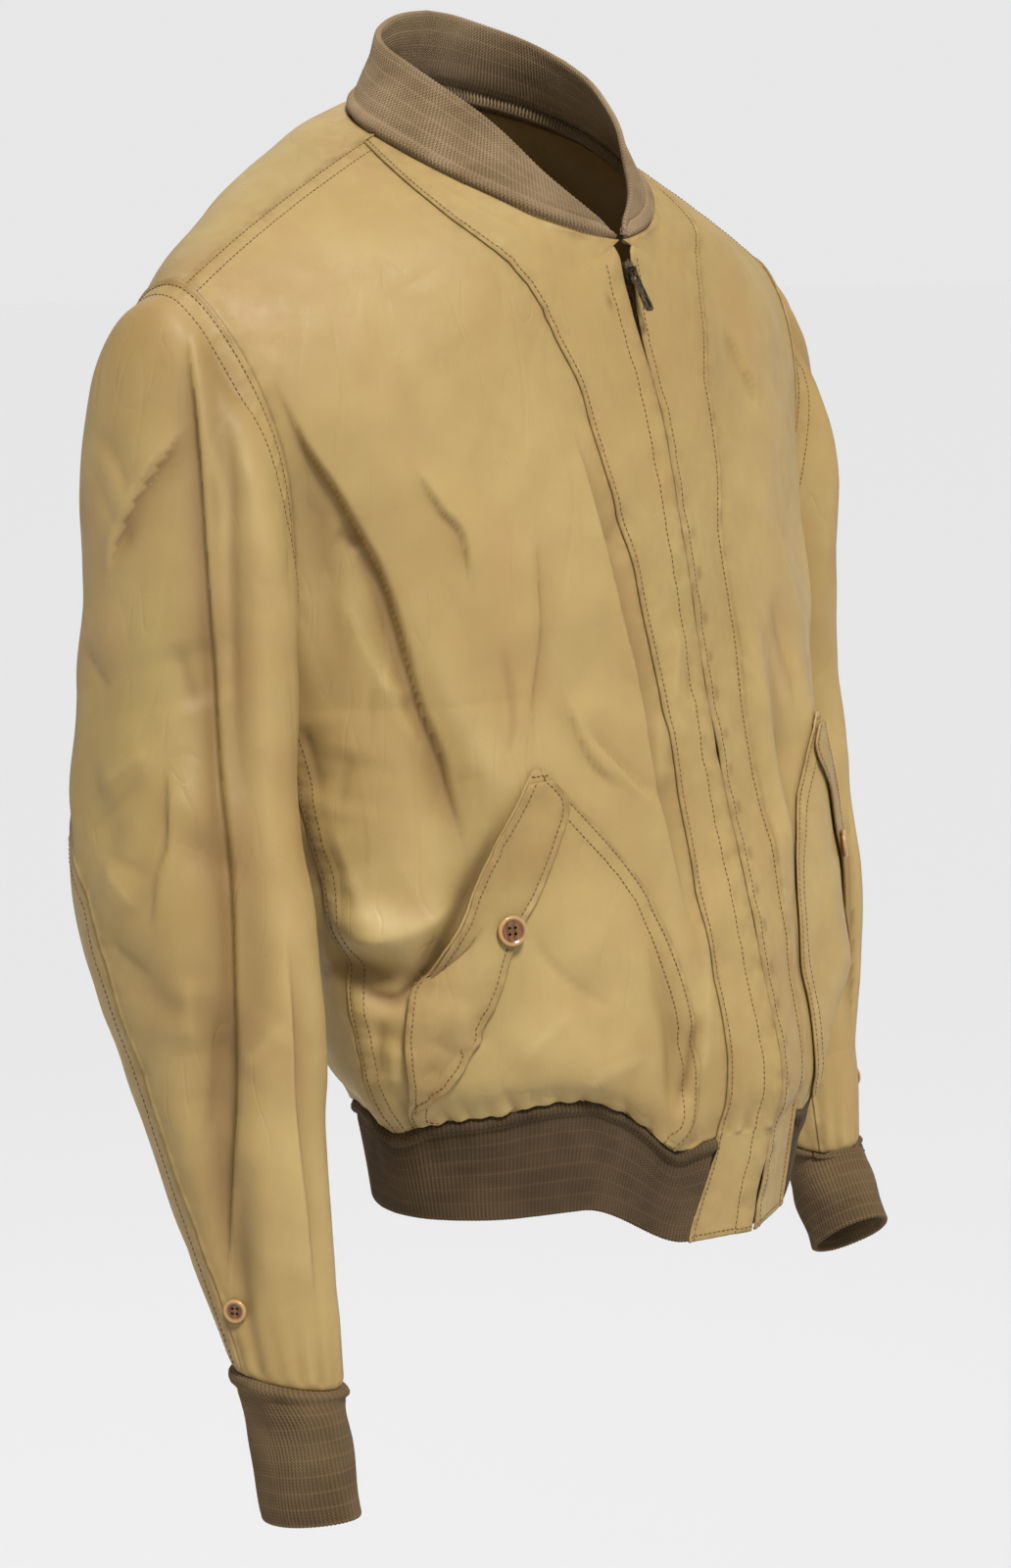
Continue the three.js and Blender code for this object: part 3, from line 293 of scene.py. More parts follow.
def torso_normal(half, side, s, t):
    inside = np.clip(s, INSET, 1 - INSET)
    level = np.clip(t, HEM + INSET, SHOULDER_ROW - INSET)
    n = base_normal(lambda a, b: torso_base(half, side, a, b), inside, level)
    return n * side * HALVES[half]["facing"]


# Sleeves: u runs round from the shoulder tip over the front, v down from the armhole to the cuff seam
SLEEVE_RINGS = {
    RIGHT: [
        ((257, 0, -222), (27, 6, 108), (-4, -66, -8)),
        ((268, -4, -332), (39, 2, 42), (-4, -66, -4)),
        ((279, -16, -414), (47, 2, 20), (-6, -74, -2)),
        ((281, -44, -540), (37, 4, 8), (-4, -52, -4)),
        ((276, -72, -660), (25, 4, 4), (-2, -29, -4)),
    ],
    LEFT: [
        ((256, 6, -222), (27, 6, 108), (-4, -66, -8)),
        ((262, 12, -332), (40, 2, 42), (-4, -64, -4)),
        ((268, 8, -414), (46, 2, 20), (-6, -68, -2)),
        ((266, -12, -535), (36, 4, 8), (-4, -54, -4)),
        ((262, -36, -652), (25, 4, 4), (-2, -32, -4)),
    ],
}


def ring_points(ring, u):
    centre, outward, forward = (np.array(v, float) for v in ring)
    angle = (2 * np.pi * u)[..., None]
    return centre + outward * np.cos(angle) + forward * np.sin(angle)


def armhole(side, u):
    turn = u - np.floor(u)
    front = torso_base("front", side, np.zeros_like(u), SHOULDER_ROW - 6 * np.minimum(turn, 0.5))
    back = torso_base("back", side, np.zeros_like(u), UNDERARM_ROW + 6 * np.maximum(turn - 0.5, 0))
    return np.where(turn[..., None] <= 0.5, front, back)


def sleeve_base(side, u, v):
    rings = [ring_points(ring, u) * (side, 1, 1) for ring in SLEEVE_RINGS[side]]
    return through([armhole(side, u), *rings], v)


def sleeve_normal(side, u, v):
    level = np.clip(v, INSET, SLEEVE_END - INSET)
    return base_normal(lambda a, b: sleeve_base(side, a, b), u, level) * side


# Folds: soft ridges (height above 0) and troughs (below 0) along lines
LARGE_FOLDS = [
    ([(-200, -66, -212), (-178, -90, -298), (-163, -106, -376), (-158, -113, -424)], 13, -5),
    ([(-190, -78, -250), (-150, -110, -330), (-128, -126, -390)], 17, 5),
    ([(-216, -40, -418), (-200, -74, -428), (-180, -98, -430)], 13, 8),
    ([(-212, -40, -446), (-200, -76, -454), (-186, -94, -458)], 10, -9),
    ([(-228, -40, -150), (-214, -52, -210), (-206, -62, -300)], 12, -5),
    ([(-60, -146, -330), (-44, -160, -430), (-36, -168, -520)], 11, 4),
    ([(-58, -152, -440), (-50, -162, -510), (-54, -158, -566)], 8, -6),
    ([(60, -136, -270), (70, -146, -380), (72, -156, -500)], 12, 5),
    ([(84, -132, -280), (94, -138, -350), (88, -146, -420)], 13, -4),
    ([(118, -118, -270), (130, -124, -360), (134, -126, -440)], 16, 5),
    ([(214, -40, -420), (200, -74, -432), (180, -98, -436)], 13, 6),
    ([(212, -40, -448), (200, -76, -458), (186, -94, -462)], 10, -7),
    ([(-178, 88, -130), (-140, 94, -260), (-120, 80, -400)], 20, -5),
    ([(178, 88, -130), (140, 94, -260), (120, 80, -400)], 20, -5),
    ([(-70, 76, -370), (-54, 66, -450), (-50, 58, -512)], 18, 6),
    ([(56, 76, -380), (66, 66, -450), (60, 58, -512)], 18, 6),
    ([(-196, 10, -440), (-130, 52, -462), (-60, 62, -470)], 14, -5),
    ([(196, 10, -430), (130, 52, -456), (70, 62, -474)], 14, -5),
]
ELBOW_FOLDS = [
    ([(-322, -34, -352), (-312, -62, -372), (-296, -82, -384)], 12, -5),
    ([(-330, 0, -430), (-318, -40, -452), (-296, -78, -458)], 13, -4),
    ([(322, -20, -360), (306, -44, -380), (290, -56, -392)], 12, -4),
]
SLEEVE_CREASE_U = [(0, 0.115), (2.5, 0.155), (3.2, 0.15), (4, 0.08), (5, 0.02)]
SLEEVE_CREASE_DEPTH = 9
SLEEVE_CREASE_WIDTH = 0.045

# Smaller creases: places from end to end, width, height and lean. A lean of 1 raises the viewer's right of a
# crease that runs down and lowers its left, and -1 does the opposite. With no lean it is a ridge or a trough.
TORSO_CREASES = {
    ("front", RIGHT): [
        (
            [(0.045, 6.2), (0.06, 5.68), (0.155, 5.21), (0.285, 4.65), (0.39, 3.9), (0.4, 3.5), (0.4, 3.2)],
            13, 4.2, 1,
        ),
        ([(0.145, 5.15), (0.235, 4.75), (0.315, 4.33), (0.365, 3.93)], 20, -3.8),
        ([(0.1, 4.85), (0.2, 4.5), (0.29, 4.16), (0.345, 3.9), (0.385, 3.68)], 16, 3.2),
        ([(0.12, 5.09), (0.2, 4.98)], 10, -2.3),
        ([(0.27, 4.17), (0.37, 4.06)], 10, 2.2),
        ([(0.4, 3.66), (0.48, 3.64)], 10, -1.4),
        ([(0.1, 3.5), (0.1, 3.28), (0.14, 3)], 12, 3.2),
        ([(0.08, 3.95), (0.075, 3.55)], 16, -3),
        ([(0.2, 3.83), (0.115, 3.5)], 16, -2.3),
        ([(0.325, 5.38), (0.39, 5.12), (0.45, 4.94), (0.475, 4.6)], 13, 3, 1),
        ([(0.63, 5), (0.625, 4.29), (0.58, 3.68)], 13, 2.5, -1),
        ([(0.54, 4.4), (0.565, 3.96), (0.5, 3.6)], 26, -3.2),
        ([(0.675, 4.05), (0.7, 3.69), (0.75, 3.5)], 10, 2.3, 1),
        ([(0.7, 3.85), (0.76, 3.6), (0.81, 3.38)], 10, 2.8, -1),
        (
            [(0.74, 5.4), (0.765, 5.09), (0.795, 4.79), (0.815, 4.4)]
            + [(0.835, 3.95), (0.82, 3.44), (0.825, 2.75)],
            15, 5.3, -1,
        ),
        ([(0.885, 3.9), (0.825, 3.42)], 12, 3),
        ([(0.865, 4.97), (0.795, 4.74)], 12, -2.2),
        ([(0.955, 4.35), (0.92, 4.04), (0.885, 3.8)], 12, 3.2),
        ([(0.97, 4.2), (0.945, 3.85)], 10, -2.3),
        ([(0, 2.9), (0.125, 2.86), (0.25, 2.93), (0.365, 3.08)], 22, 7),
        ([(0, 2.66), (0.07, 2.53), (0.14, 2.5), (0.22, 2.6), (0.285, 2.72), (0.39, 2.9)], 9, -9),
        ([(0.085, 3.25), (0.13, 2.92)], 12, 2.7),
        ([(0.1, 2.42), (0.06, 2.05), (0.04, 1.8)], 16, -3.8),
        ([(0.115, 2.25), (0.075, 1.75)], 12, 3),
        ([(0.62, 3.08), (0.655, 2.76), (0.715, 2.5)], 10, 1.4),
        ([(0.47, 2.92), (0.52, 2.6), (0.62, 2.36)], 12, -2.7),
        ([(0.305, 2.5), (0.28, 2.3), (0.29, 2.12)], 9, 3),
        ([(0.34, 2.46), (0.318, 2.28), (0.325, 2.15)], 8, -2.2),
        ([(0.2, 2.3), (0.25, 2.2), (0.285, 2.09)], 9, -2.2),
        ([(0.185, 2.08), (0.235, 1.92)], 8, -1.8),
        ([(0.36, 1.95), (0.445, 2.2), (0.545, 2.4)], 20, 3.8),
        ([(0.45, 1.15), (0.545, 1.8), (0.68, 2.21)], 24, 4.4),
        ([(0.79, 2.4), (0.77, 2.21), (0.755, 2.06), (0.7, 1.6)], 10, -7),
        ([(0.87, 2.95), (0.855, 2.71), (0.8, 2.21), (0.745, 1.7)], 16, 5),
    ],
    ("front", LEFT): [
        ([(0.77, 4.5), (0.75, 4.15), (0.7, 3.78), (0.66, 3.5)], 18, 3.9),
        ([(0.72, 4.4), (0.68, 4), (0.64, 3.6)], 16, -3.9),
        ([(0.605, 5.81), (0.525, 5.4)], 13, 2.7, 1),
        ([(0.845, 3.3), (0.845, 2.88), (0.855, 2.4)], 18, 3.8),
        ([(0.795, 3.15), (0.78, 2.6), (0.77, 2.1)], 16, -3.8),
        ([(0.6, 4.9), (0.56, 4.3), (0.5, 3.7)], 24, 3),
        ([(0.06, 5.8), (0.17, 5.1), (0.3, 4.4), (0.36, 3.7)], 15, 4.6, -1),
        ([(0.2, 4.2), (0.24, 3.8), (0.22, 3.4)], 16, -2.7),
        ([(0, 2.9), (0.13, 2.87), (0.3, 2.95)], 26, 4),
        ([(0, 2.6), (0.1, 2.52), (0.25, 2.62), (0.36, 2.85)], 18, -5.2),
        ([(0.3, 2.45), (0.28, 2.28), (0.3, 2.1)], 9, 2.6),
        ([(0.2, 2.25), (0.27, 2.1)], 9, -2),
        ([(0.4, 1.9), (0.5, 2.15), (0.62, 2.3)], 20, 3.2),
    ],
    ("back", RIGHT): [
        ([(0.1, 5.6), (0.25, 5), (0.35, 4.2)], 26, 2.4, -1),
        ([(0.45, 4.6), (0.5, 3.9), (0.48, 3.2)], 20, 3),
        ([(0.62, 5), (0.66, 4.3), (0.62, 3.7)], 20, -2.3),
        ([(0.2, 3.6), (0.4, 3.2), (0.6, 3.1)], 18, -3.6),
        ([(0, 2.95), (0.15, 2.9), (0.3, 3)], 26, 4),
        ([(0, 2.7), (0.15, 2.6), (0.3, 2.75)], 20, -4.6),
        ([(0.7, 2.3), (0.75, 1.8), (0.73, 1.3)], 16, 3),
        ([(0.5, 2.2), (0.46, 1.7), (0.48, 1.25)], 16, -3),
    ],
    ("back", LEFT): [
        ([(0.08, 5.4), (0.2, 4.9), (0.32, 4.1)], 26, 2.2, 1),
        ([(0.5, 4.9), (0.46, 4.2), (0.52, 3.4)], 24, 3),
        ([(0.75, 4.6), (0.7, 4), (0.74, 3.4)], 20, -2.3),
        ([(0.15, 3.5), (0.35, 3.3), (0.55, 2.95)], 18, -3.2),
        ([(0, 3), (0.15, 2.92), (0.34, 3.05)], 26, 3.7),
        ([(0, 2.72), (0.15, 2.64), (0.32, 2.8)], 20, -4.1),
        ([(0.66, 2.3), (0.7, 1.8), (0.68, 1.3)], 16, 3),
        ([(0.36, 2.2), (0.4, 1.7), (0.36, 1.25)], 16, -3),
    ],
}
SLEEVE_CREASES = {
    RIGHT: [
        (
            [(0.045, 0.2), (0.08, 0.9), (0.107, 1.38), (0.133, 1.99)]
            + [(0.143, 2.8), (0.107, 3.82), (-0.005, 4.7)],
            20, 5.5, 1,
        ),
        ([(0.095, 0.75), (0.11, 1.11), (0.137, 1.25), (0.14, 1.45), (0.152, 1.84), (0.16, 2.3)], 16, 2.7),
        ([(0.14, 0.45), (0.15, 0.87), (0.157, 1.4), (0.168, 1.81), (0.175, 2.3)], 16, -2.3),
        ([(0.077, 1.14), (0.053, 1.29), (0.01, 1.45), (-0.027, 1.58), (-0.05, 1.68)], 17, 4.6, -1),
        ([(-0.1, 1.18), (-0.023, 1.37), (0.02, 1.48)], 10, -1.5),
        ([(-0.065, 1.21), (0.01, 1.46)], 8, -1.1),
        ([(-0.09, 1.31), (0.005, 1.6)], 10, -1.3),
        ([(-0.13, 1.78), (-0.03, 2.02)], 12, -2.4),
        ([(0.07, 1.78), (0.1, 2)], 26, -3),
        ([(-0.055, 2.49), (0, 2.34), (0.055, 2.18)], 12, 3),
        ([(-0.07, 2.75), (0.04, 2.35)], 12, -1.8),
        ([(0.063, 2.2), (0.063, 2.7), (0.047, 2.93), (0.03, 3.18)], 15, 2.2, 1),
        ([(-0.04, 2.86), (-0.005, 2.98), (0.02, 3.08)], 24, 3.9),
        ([(-0.05, 2.8), (0.05, 2.9)], 12, -1.6),
        ([(-0.05, 3.2), (0.02, 3.34)], 12, -2.2),
        ([(0.105, 3.4), (0.07, 3.76), (0.04, 3.95)], 20, -4.4),
        ([(0.073, 3.28), (0.05, 3.62)], 16, 2.7),
        ([(0.22, 2.95), (0.22, 3.25), (0.22, 3.64), (0.223, 3.95), (0.23, 4.32), (0.227, 4.7)], 13, 4.2, -1),
        ([(0.12, 3.65), (0.21, 3.4)], 16, 2.1),
        ([(0.2, 1.2), (0.22, 1.9), (0.215, 2.6)], 24, 1.8),
        ([(-0.2, 1.5), (-0.15, 2.2), (-0.1, 2.9)], 17, 3.8, 1),
        ([(0.35, 2.3), (0.45, 2.45), (0.55, 2.4)], 18, -4.4),
        ([(0.33, 2.75), (0.43, 2.8), (0.54, 2.7)], 18, -3.9),
        ([(0.55, 1), (0.6, 1.8), (0.58, 2.5)], 20, 3),
    ],
    LEFT: [
        ([(0.06, 0.3), (0.1, 1.2), (0.14, 2.2), (0.13, 3.2), (0.08, 4.2)], 13, 5.3, -1),
        ([(0.17, 0.8), (0.19, 1.6), (0.2, 2.4)], 20, 2.7),
        ([(0, 1.1), (-0.05, 1.4), (-0.1, 1.6)], 17, 3.8, 1),
        ([(-0.06, 2.5), (0, 2.36), (0.06, 2.2)], 12, 3),
        ([(-0.05, 2.7), (0.03, 2.5)], 12, -3),
        ([(-0.03, 3.2), (0.05, 3.3)], 16, -3),
        ([(0.24, 3), (0.25, 3.7), (0.24, 4.5)], 15, 3.8, 1),
        ([(0.35, 2.25), (0.45, 2.4), (0.55, 2.35)], 18, -4.4),
        ([(0.34, 2.7), (0.44, 2.76), (0.54, 2.66)], 18, -3.9),
        ([(0.55, 1.1), (0.6, 1.9), (0.57, 2.5)], 20, 3),
    ],
}

# A crease's profile: the crest's radius, the half width of the painted line on it (painted shade on a trough,
# partly also dirt and wear, and a painted highlight on a crest), how sharply a leaning one steps and how wide
# its foot of painted shade is, as shares of its width, and the heights that are marked in full
CREST = 1.2
CREASE_LINE = 3.5
STEP_WIDTH = 0.13
FOOT_WIDTH = 0.6
RIDGE_IN_FULL = 7
STEP_IN_FULL = 5
FADE_LENGTH = 70
PLACES_PER_STEP = 6


def on_line(line, p, n):
    """Points' distance from a line, how far they lie to its side, and the share of its length they are at."""
    best = np.full(len(p), np.inf)
    beside = np.zeros(len(p))
    share = np.zeros(len(p))
    run = path_length(line)
    for k in range(len(line) - 1):
        step = line[k + 1] - line[k]
        f = np.clip(((p - line[k]) @ step) / (step @ step), 0, 1)
        away = p - line[k] - f[:, None] * step
        distance = np.linalg.norm(away, axis=-1)
        nearer = distance < best
        best = np.where(nearer, distance, best)
        beside = np.where(nearer, (np.cross(n, unit(step)) * away).sum(-1), beside)
        share = np.where(nearer, (run[k] + f * (run[k + 1] - run[k])) / run[-1], share)
    return best, beside, share


def fold_profile(d, _, width, height):
    return (height * bump(d / width),)


def crease_profile(d, side, width, height, lean=0):
    """Height and colour mark of a sharp crest or trough or, where the crease leans, of a step with a foot of
    painted shade. The mark is painted shade in troughs and at the foot, partly also dirt and wear, and a
    painted highlight on crests.
    """
    line = bump(d / CREASE_LINE)
    if lean == 0:
        crest = height * np.exp((CREST - np.hypot(d, CREST)) / width)
        return crest, np.clip(height / RIDGE_IN_FULL, -1, 1) * line
    step = lean * np.tanh(side / (STEP_WIDTH * width))
    mark = np.where(step > 0, 0.5 * line, -np.exp(-d / (FOOT_WIDTH * width)))
    return height * step * np.exp(-d / width), min(height / STEP_IN_FULL, 1) * mark


def line_sums(lines, p, n, profile, reach, taper, at_ends):
    """Sums of what a profile gives beside each line, faded towards the line's ends."""
    flat, out = p.reshape(-1, 3), n.reshape(-1, 3)
    sums = np.zeros((2, len(flat)))
    for line, width, *sizes in lines:
        line = np.array(line, float)
        low, high = line.min(0) - reach * width, line.max(0) + reach * width
        near = np.all((flat > low) & (flat < high), axis=1)
        distance, beside, share = on_line(line, flat[near], out[near])
        ends = max(taper, path_length(line)[-1] / FADE_LENGTH)
        fade = at_ends + (1 - at_ends) * smooth(ends * share) * smooth(ends * (1 - share))
        for total, values in zip(sums, profile(distance, beside, width, *sizes)):
            total[near] += fade * values
    return sums.reshape(2, *p.shape[:-1])


def fold_height(folds, p, n):
    return line_sums(folds, p, n, fold_profile, reach=3, taper=2.2, at_ends=0.25)[0]


def crease_height(creases, p, n):
    return line_sums(creases, p, n, crease_profile, reach=4, taper=3.2, at_ends=0)


def smooth_places(places):
    """More places along a smooth curve through a few."""
    rows = [np.array([a, b, 0.0]) for a, b in places]
    return through(rows, np.linspace(0, len(rows) - 1, PLACES_PER_STEP * len(rows)))[:, :2].T


def crease_lines(base, creases):
    return [(base(*smooth_places(places)), *sizes) for places, *sizes in creases]


TORSO_CREASE_LINES = {
    (half, side): crease_lines(lambda s, t: torso_base(half, side, s, t), creases)
    for (half, side), creases in TORSO_CREASES.items()
}
SLEEVE_CREASE_LINES = {
    side: crease_lines(lambda u, v: sleeve_base(side, u, v), creases)
    for side, creases in SLEEVE_CREASES.items()
}

# Gathers at the waistband and cuff seams, and swells all over: form, height, wavelength and seed
GATHER_PITCH = 0.052
GATHER_DEPTH = 1.5
CUFF_GATHER_PITCH = 0.06
TORSO_SWELL = ((ripple, 1.2, 95, 3), (ripple, 0.3, 38, 5), (crumple, 1.2, 95, 7), (crumple, 0.7, 52, 17))
SLEEVE_SWELL = ((ripple, 1.1, 90, 11), (ripple, 0.3, 36, 13), (crumple, 1, 85, 19), (crumple, 0.6, 48, 23))
# Heights of a fold or gather that is marked in full; the mark is painted shade in troughs, partly also dirt
# and wear, and a painted highlight on crests
FOLD_IN_FULL = 9
SLEEVE_FOLD_IN_FULL = 12
GATHER_IN_FULL = 2.5


def torso_surface(half, side, s, t):
    """Outer points of the leather, the way out of it and how its folds mark its colour, troughs below 0:
    painted shade in the troughs, partly also dirt and wear, and a painted highlight on the ridges.
    """
    p = torso_base(half, side, s, t)
    n = torso_normal(half, side, s, t)
    fade = smooth((t - BAND_SEAM) / 0.5) * smooth((SHOULDER_ROW - t) / 0.8)
    clear = smooth((s - 0.004) / 0.05) if half == "front" else 1
    small = np.where(t > UNDERARM_ROW, clear, 1) * smooth((t - BAND_SEAM) / 0.15)
    folds = fold_height(LARGE_FOLDS, p, n) * fade
    creases, lines = crease_height(TORSO_CREASE_LINES[half, side], p, n) * small
    above = np.maximum(t - BAND_SEAM, 0)
    gathers = GATHER_DEPTH * pucker(s + 0.3 * side, GATHER_PITCH)
    gathers = gathers * smooth(above / 0.06) * np.exp(-above / 0.4) * (t > BAND_SEAM)
    lift = folds + creases + gathers + swell(TORSO_SWELL, p) * fade * small
    return p + n * lift[..., None], n, folds / FOLD_IN_FULL + lines + gathers / GATHER_IN_FULL


def sleeve_surface(side, u, v):
    p = sleeve_base(side, u, v)
    n = sleeve_normal(side, u, v)
    around = u - along(SLEEVE_CREASE_U, v)
    turn = around - np.round(around)
    fade = smooth(v / 0.35) * smooth((SLEEVE_END - v) / 0.6)
    folds = -SLEEVE_CREASE_DEPTH * bump(turn / SLEEVE_CREASE_WIDTH) + fold_height(ELBOW_FOLDS, p, n)
    creases, lines = crease_height(SLEEVE_CREASE_LINES[side], p, n)
    left = SLEEVE_END - v
    gathers = pucker(u, CUFF_GATHER_PITCH) * smooth(left / 0.05) * np.exp(-left / 0.3)
    lift = (folds + creases + swell(SLEEVE_SWELL, p)) * fade + gathers
    # The colour mark: painted shade in the sleeve's folds and troughs, partly also dirt and wear, and a
    # painted highlight on its crests
    mark = (folds / SLEEVE_FOLD_IN_FULL + lines) * fade + gathers / GATHER_IN_FULL
    return p + n * lift[..., None], n, mark


# Grids: columns first, then rows, then x, y and z
def grid_normals(points, toward):
    n = unit(np.cross(np.gradient(points, axis=0), np.gradient(points, axis=1)))
    return n * np.sign((n * toward).sum())


def grid_quads(columns, rows, closed=False, looped=False):
    """A grid's faces. A closed one's last column joins its first, and a looped one's last row its first."""
    i, j = np.meshgrid(np.arange(columns - (not closed)), np.arange(rows - (not looped)), indexing="ij")
    after, above = (i + 1) % columns, (j + 1) % rows
    quads = np.stack([i * rows + j, after * rows + j, after * rows + above, i * rows + above], -1)
    return quads.reshape(-1, 4)


def grid_blocks(columns, rows):
    """Faces twice as large as the grid's, for the inside. Along the grid's edges they keep every point."""
    faces = []
    for i in range(0, columns - 1, 2):
        for j in range(0, rows - 1, 2):
            far, up = min(i + 2, columns - 1), min(j + 2, rows - 1)
            bottom = range(i, far) if j == 0 else (i,)
            right = range(j, up) if far == columns - 1 else (j,)
            top = range(far, i, -1) if up == rows - 1 else (far,)
            left = range(up, j, -1) if i == 0 else (up,)
            face = [k * rows + j for k in bottom] + [far * rows + k for k in right]
            faces.append(face + [k * rows + up for k in top] + [i * rows + k for k in left])
    return faces


def turned(grid, edge):
    """The grid turned so that one of its edges is its first column."""
    swapped = grid if edge in ("start", "end") else grid.swapaxes(0, 1)
    return swapped[::-1] if edge in ("end", "top") else swapped


def turned_back(grid, edge):
    ordered = grid[::-1] if edge in ("end", "top") else grid
    return ordered if edge in ("start", "end") else ordered.swapaxes(0, 1)


def edge_runs(points, edge):
    """Each point's distance from an edge, and the run along that edge, both turned to it."""
    p = turned(points, edge)
    steps = np.linalg.norm(np.diff(p, axis=0), axis=-1)
    away = np.concatenate([np.zeros((1, p.shape[1])), np.cumsum(steps, axis=0)])
    ahead = unit(np.gradient(p[0], axis=0))
    across = unit(p[min(4, len(p) - 1)] - p[0])
    lean = np.sqrt(np.clip(1 - (ahead * across).sum(-1) ** 2, 0.12, 1))
    return away * lean, path_length(p[0])


# Seams, by the distance from the edge: a raised band (height, width, softness), ridges (height, distance,
# width), puckers (height, pitch, distance, width) and the distances of the rows of stitches
SEAMS = {
    "corded": {"ridges": [(0.9, 0, 1.5), (-0.35, 3.4, 0.9)], "puckers": [(0.12, 7, 4, 4)], "stitches": [3.4]},
    "piped": {"ridges": [(0.8, 0, 1.6)], "puckers": [(0.1, 9, 3, 4)]},
    "sunk": {"ridges": [(-0.8, 0, 1.3)]},
    "felled": {
        "band": (0.55, 10.5, 1.6),
        "ridges": [(-0.3, 2, 0.8), (-0.3, 9.8, 0.8)],
        "puckers": [(0.28, 6, 6, 3)],
        "stitches": [2, 9.8],
    },
    "armhole": {
        "band": (0.5, 13, 1.6),
        "ridges": [(0.9, 0, 1.6), (-0.35, 3.2, 0.9), (-0.35, 12, 0.9)],
        "puckers": [(0.5, 5.5, 7.6, 3.6)],
        "stitches": [3.2, 12],
    },
    "lapped": {
        "band": (0.4, 9.5, 1.6),
        "ridges": [(-0.9, 0, 1.3), (-0.3, 9, 0.9)],
        "puckers": [(0.35, 8, 6, 3.2)],
        "stitches": [9],
    },
    "zip_right": {
        "band": (0.5, 13, 1.5),
        "ridges": [(-0.35, 12.5, 0.9)],
        "puckers": [(0.55, 21, 8, 7), (0.2, 6, 12, 4)],
        "stitches": [12.5],
    },
    "zip_left": {
        "band": (0.5, 5.5, 1.5),
        "ridges": [(-0.3, 4.8, 0.9)],
        "puckers": [(0.5, 23, 7, 6), (0.15, 6, 5, 4)],
        "stitches": [4.8],
    },
    "turned": {
        "band": (0.35, 4.5, 1),
        "ridges": [(-0.25, 3.6, 0.8)],
        "puckers": [(0.1, 8, 0, math.inf)],
        "stitches": [3.6],
    },
}
SEAM_END = 0.03
DIRT_WIDTH = 2.2
DIRT_HALO = 14


def seam_height(seam, d, run):
    band, wide, softness = seam.get("band", (0, 0, 1))
    lift = band * (1 - smooth((d - wide) / softness))
    for height, at, width in seam["ridges"]:
        lift = lift + height * bump((d - at) / width)
    for height, pitch, at, width in seam.get("puckers", ()):
        lift = lift + height * pucker(run, pitch) * bump((d - at) / width)
    return lift


def sew(points, toward, seams, rows=None):
    """Raises the seams along a grid's edges. Gives the points, normals, seam dirt and stitch lines."""
    normals = grid_normals(points, toward)
    lift = np.zeros(points.shape[:2])
    dirt = np.zeros(points.shape[:2])
    for edge, kind, low, high in seams:
        away, run = edge_runs(points, edge)
        weight = np.ones_like(run)
        if rows is not None and edge in ("start", "end"):
            weight = smooth((rows - low) / SEAM_END + 0.5) * smooth((high - rows) / SEAM_END + 0.5)
        lift = lift + turned_back(seam_height(SEAMS[kind], away, run[None]) * weight, edge)
        soiled = np.exp(-away / DIRT_WIDTH) + 0.35 * np.exp(-away / DIRT_HALO)
        dirt = dirt + turned_back(soiled * weight, edge)
    points = points + normals * lift[..., None]
    normals = grid_normals(points, toward)
    lines = []
    for edge, kind, low, high in seams:
        for distance in SEAMS[kind].get("stitches", ()):
            lines.append(stitch_line(points, normals, edge, distance, rows, low, high))
    return points, normals, np.clip(dirt, 0, 1), [line for line in lines if len(line[0]) > 1]


def stitch_line(points, normals, edge, distance, rows, low, high):
    away, _ = edge_runs(points, edge)
    p, n = turned(points, edge), turned(normals, edge)
    kept = []
    for j in range(p.shape[1]):
        outside = rows is not None and edge in ("start", "end") and not low <= rows[j] <= high
        if outside or away[-1, j] < 1.4 * distance:
            continue
        place = np.interp(distance, away[:, j], np.arange(len(away)))
        k = min(int(place), len(away) - 2)
        f = place - k
        kept.append((p[k, j] * (1 - f) + p[k + 1, j] * f, n[k, j]))
    return np.array([a for a, _ in kept]), np.array([b for _, b in kept])


# Meshes
def make_object(name, points, faces, attributes, material):
    mesh = bpy.data.meshes.new(name)
    mesh.from_pydata((np.asarray(points) * MM).tolist(), [], faces)
    for key, values in attributes.items():
        layer = mesh.attributes.new(key, "FLOAT", "POINT")
        layer.data.foreach_set("value", np.asarray(values, np.float32))
    mesh.shade_smooth()
    obj = bpy.data.objects.new(name, mesh)
    bpy.context.scene.collection.objects.link(obj)
    mesh.materials.append(material)
    return obj


RIM_BULGE = 0.35


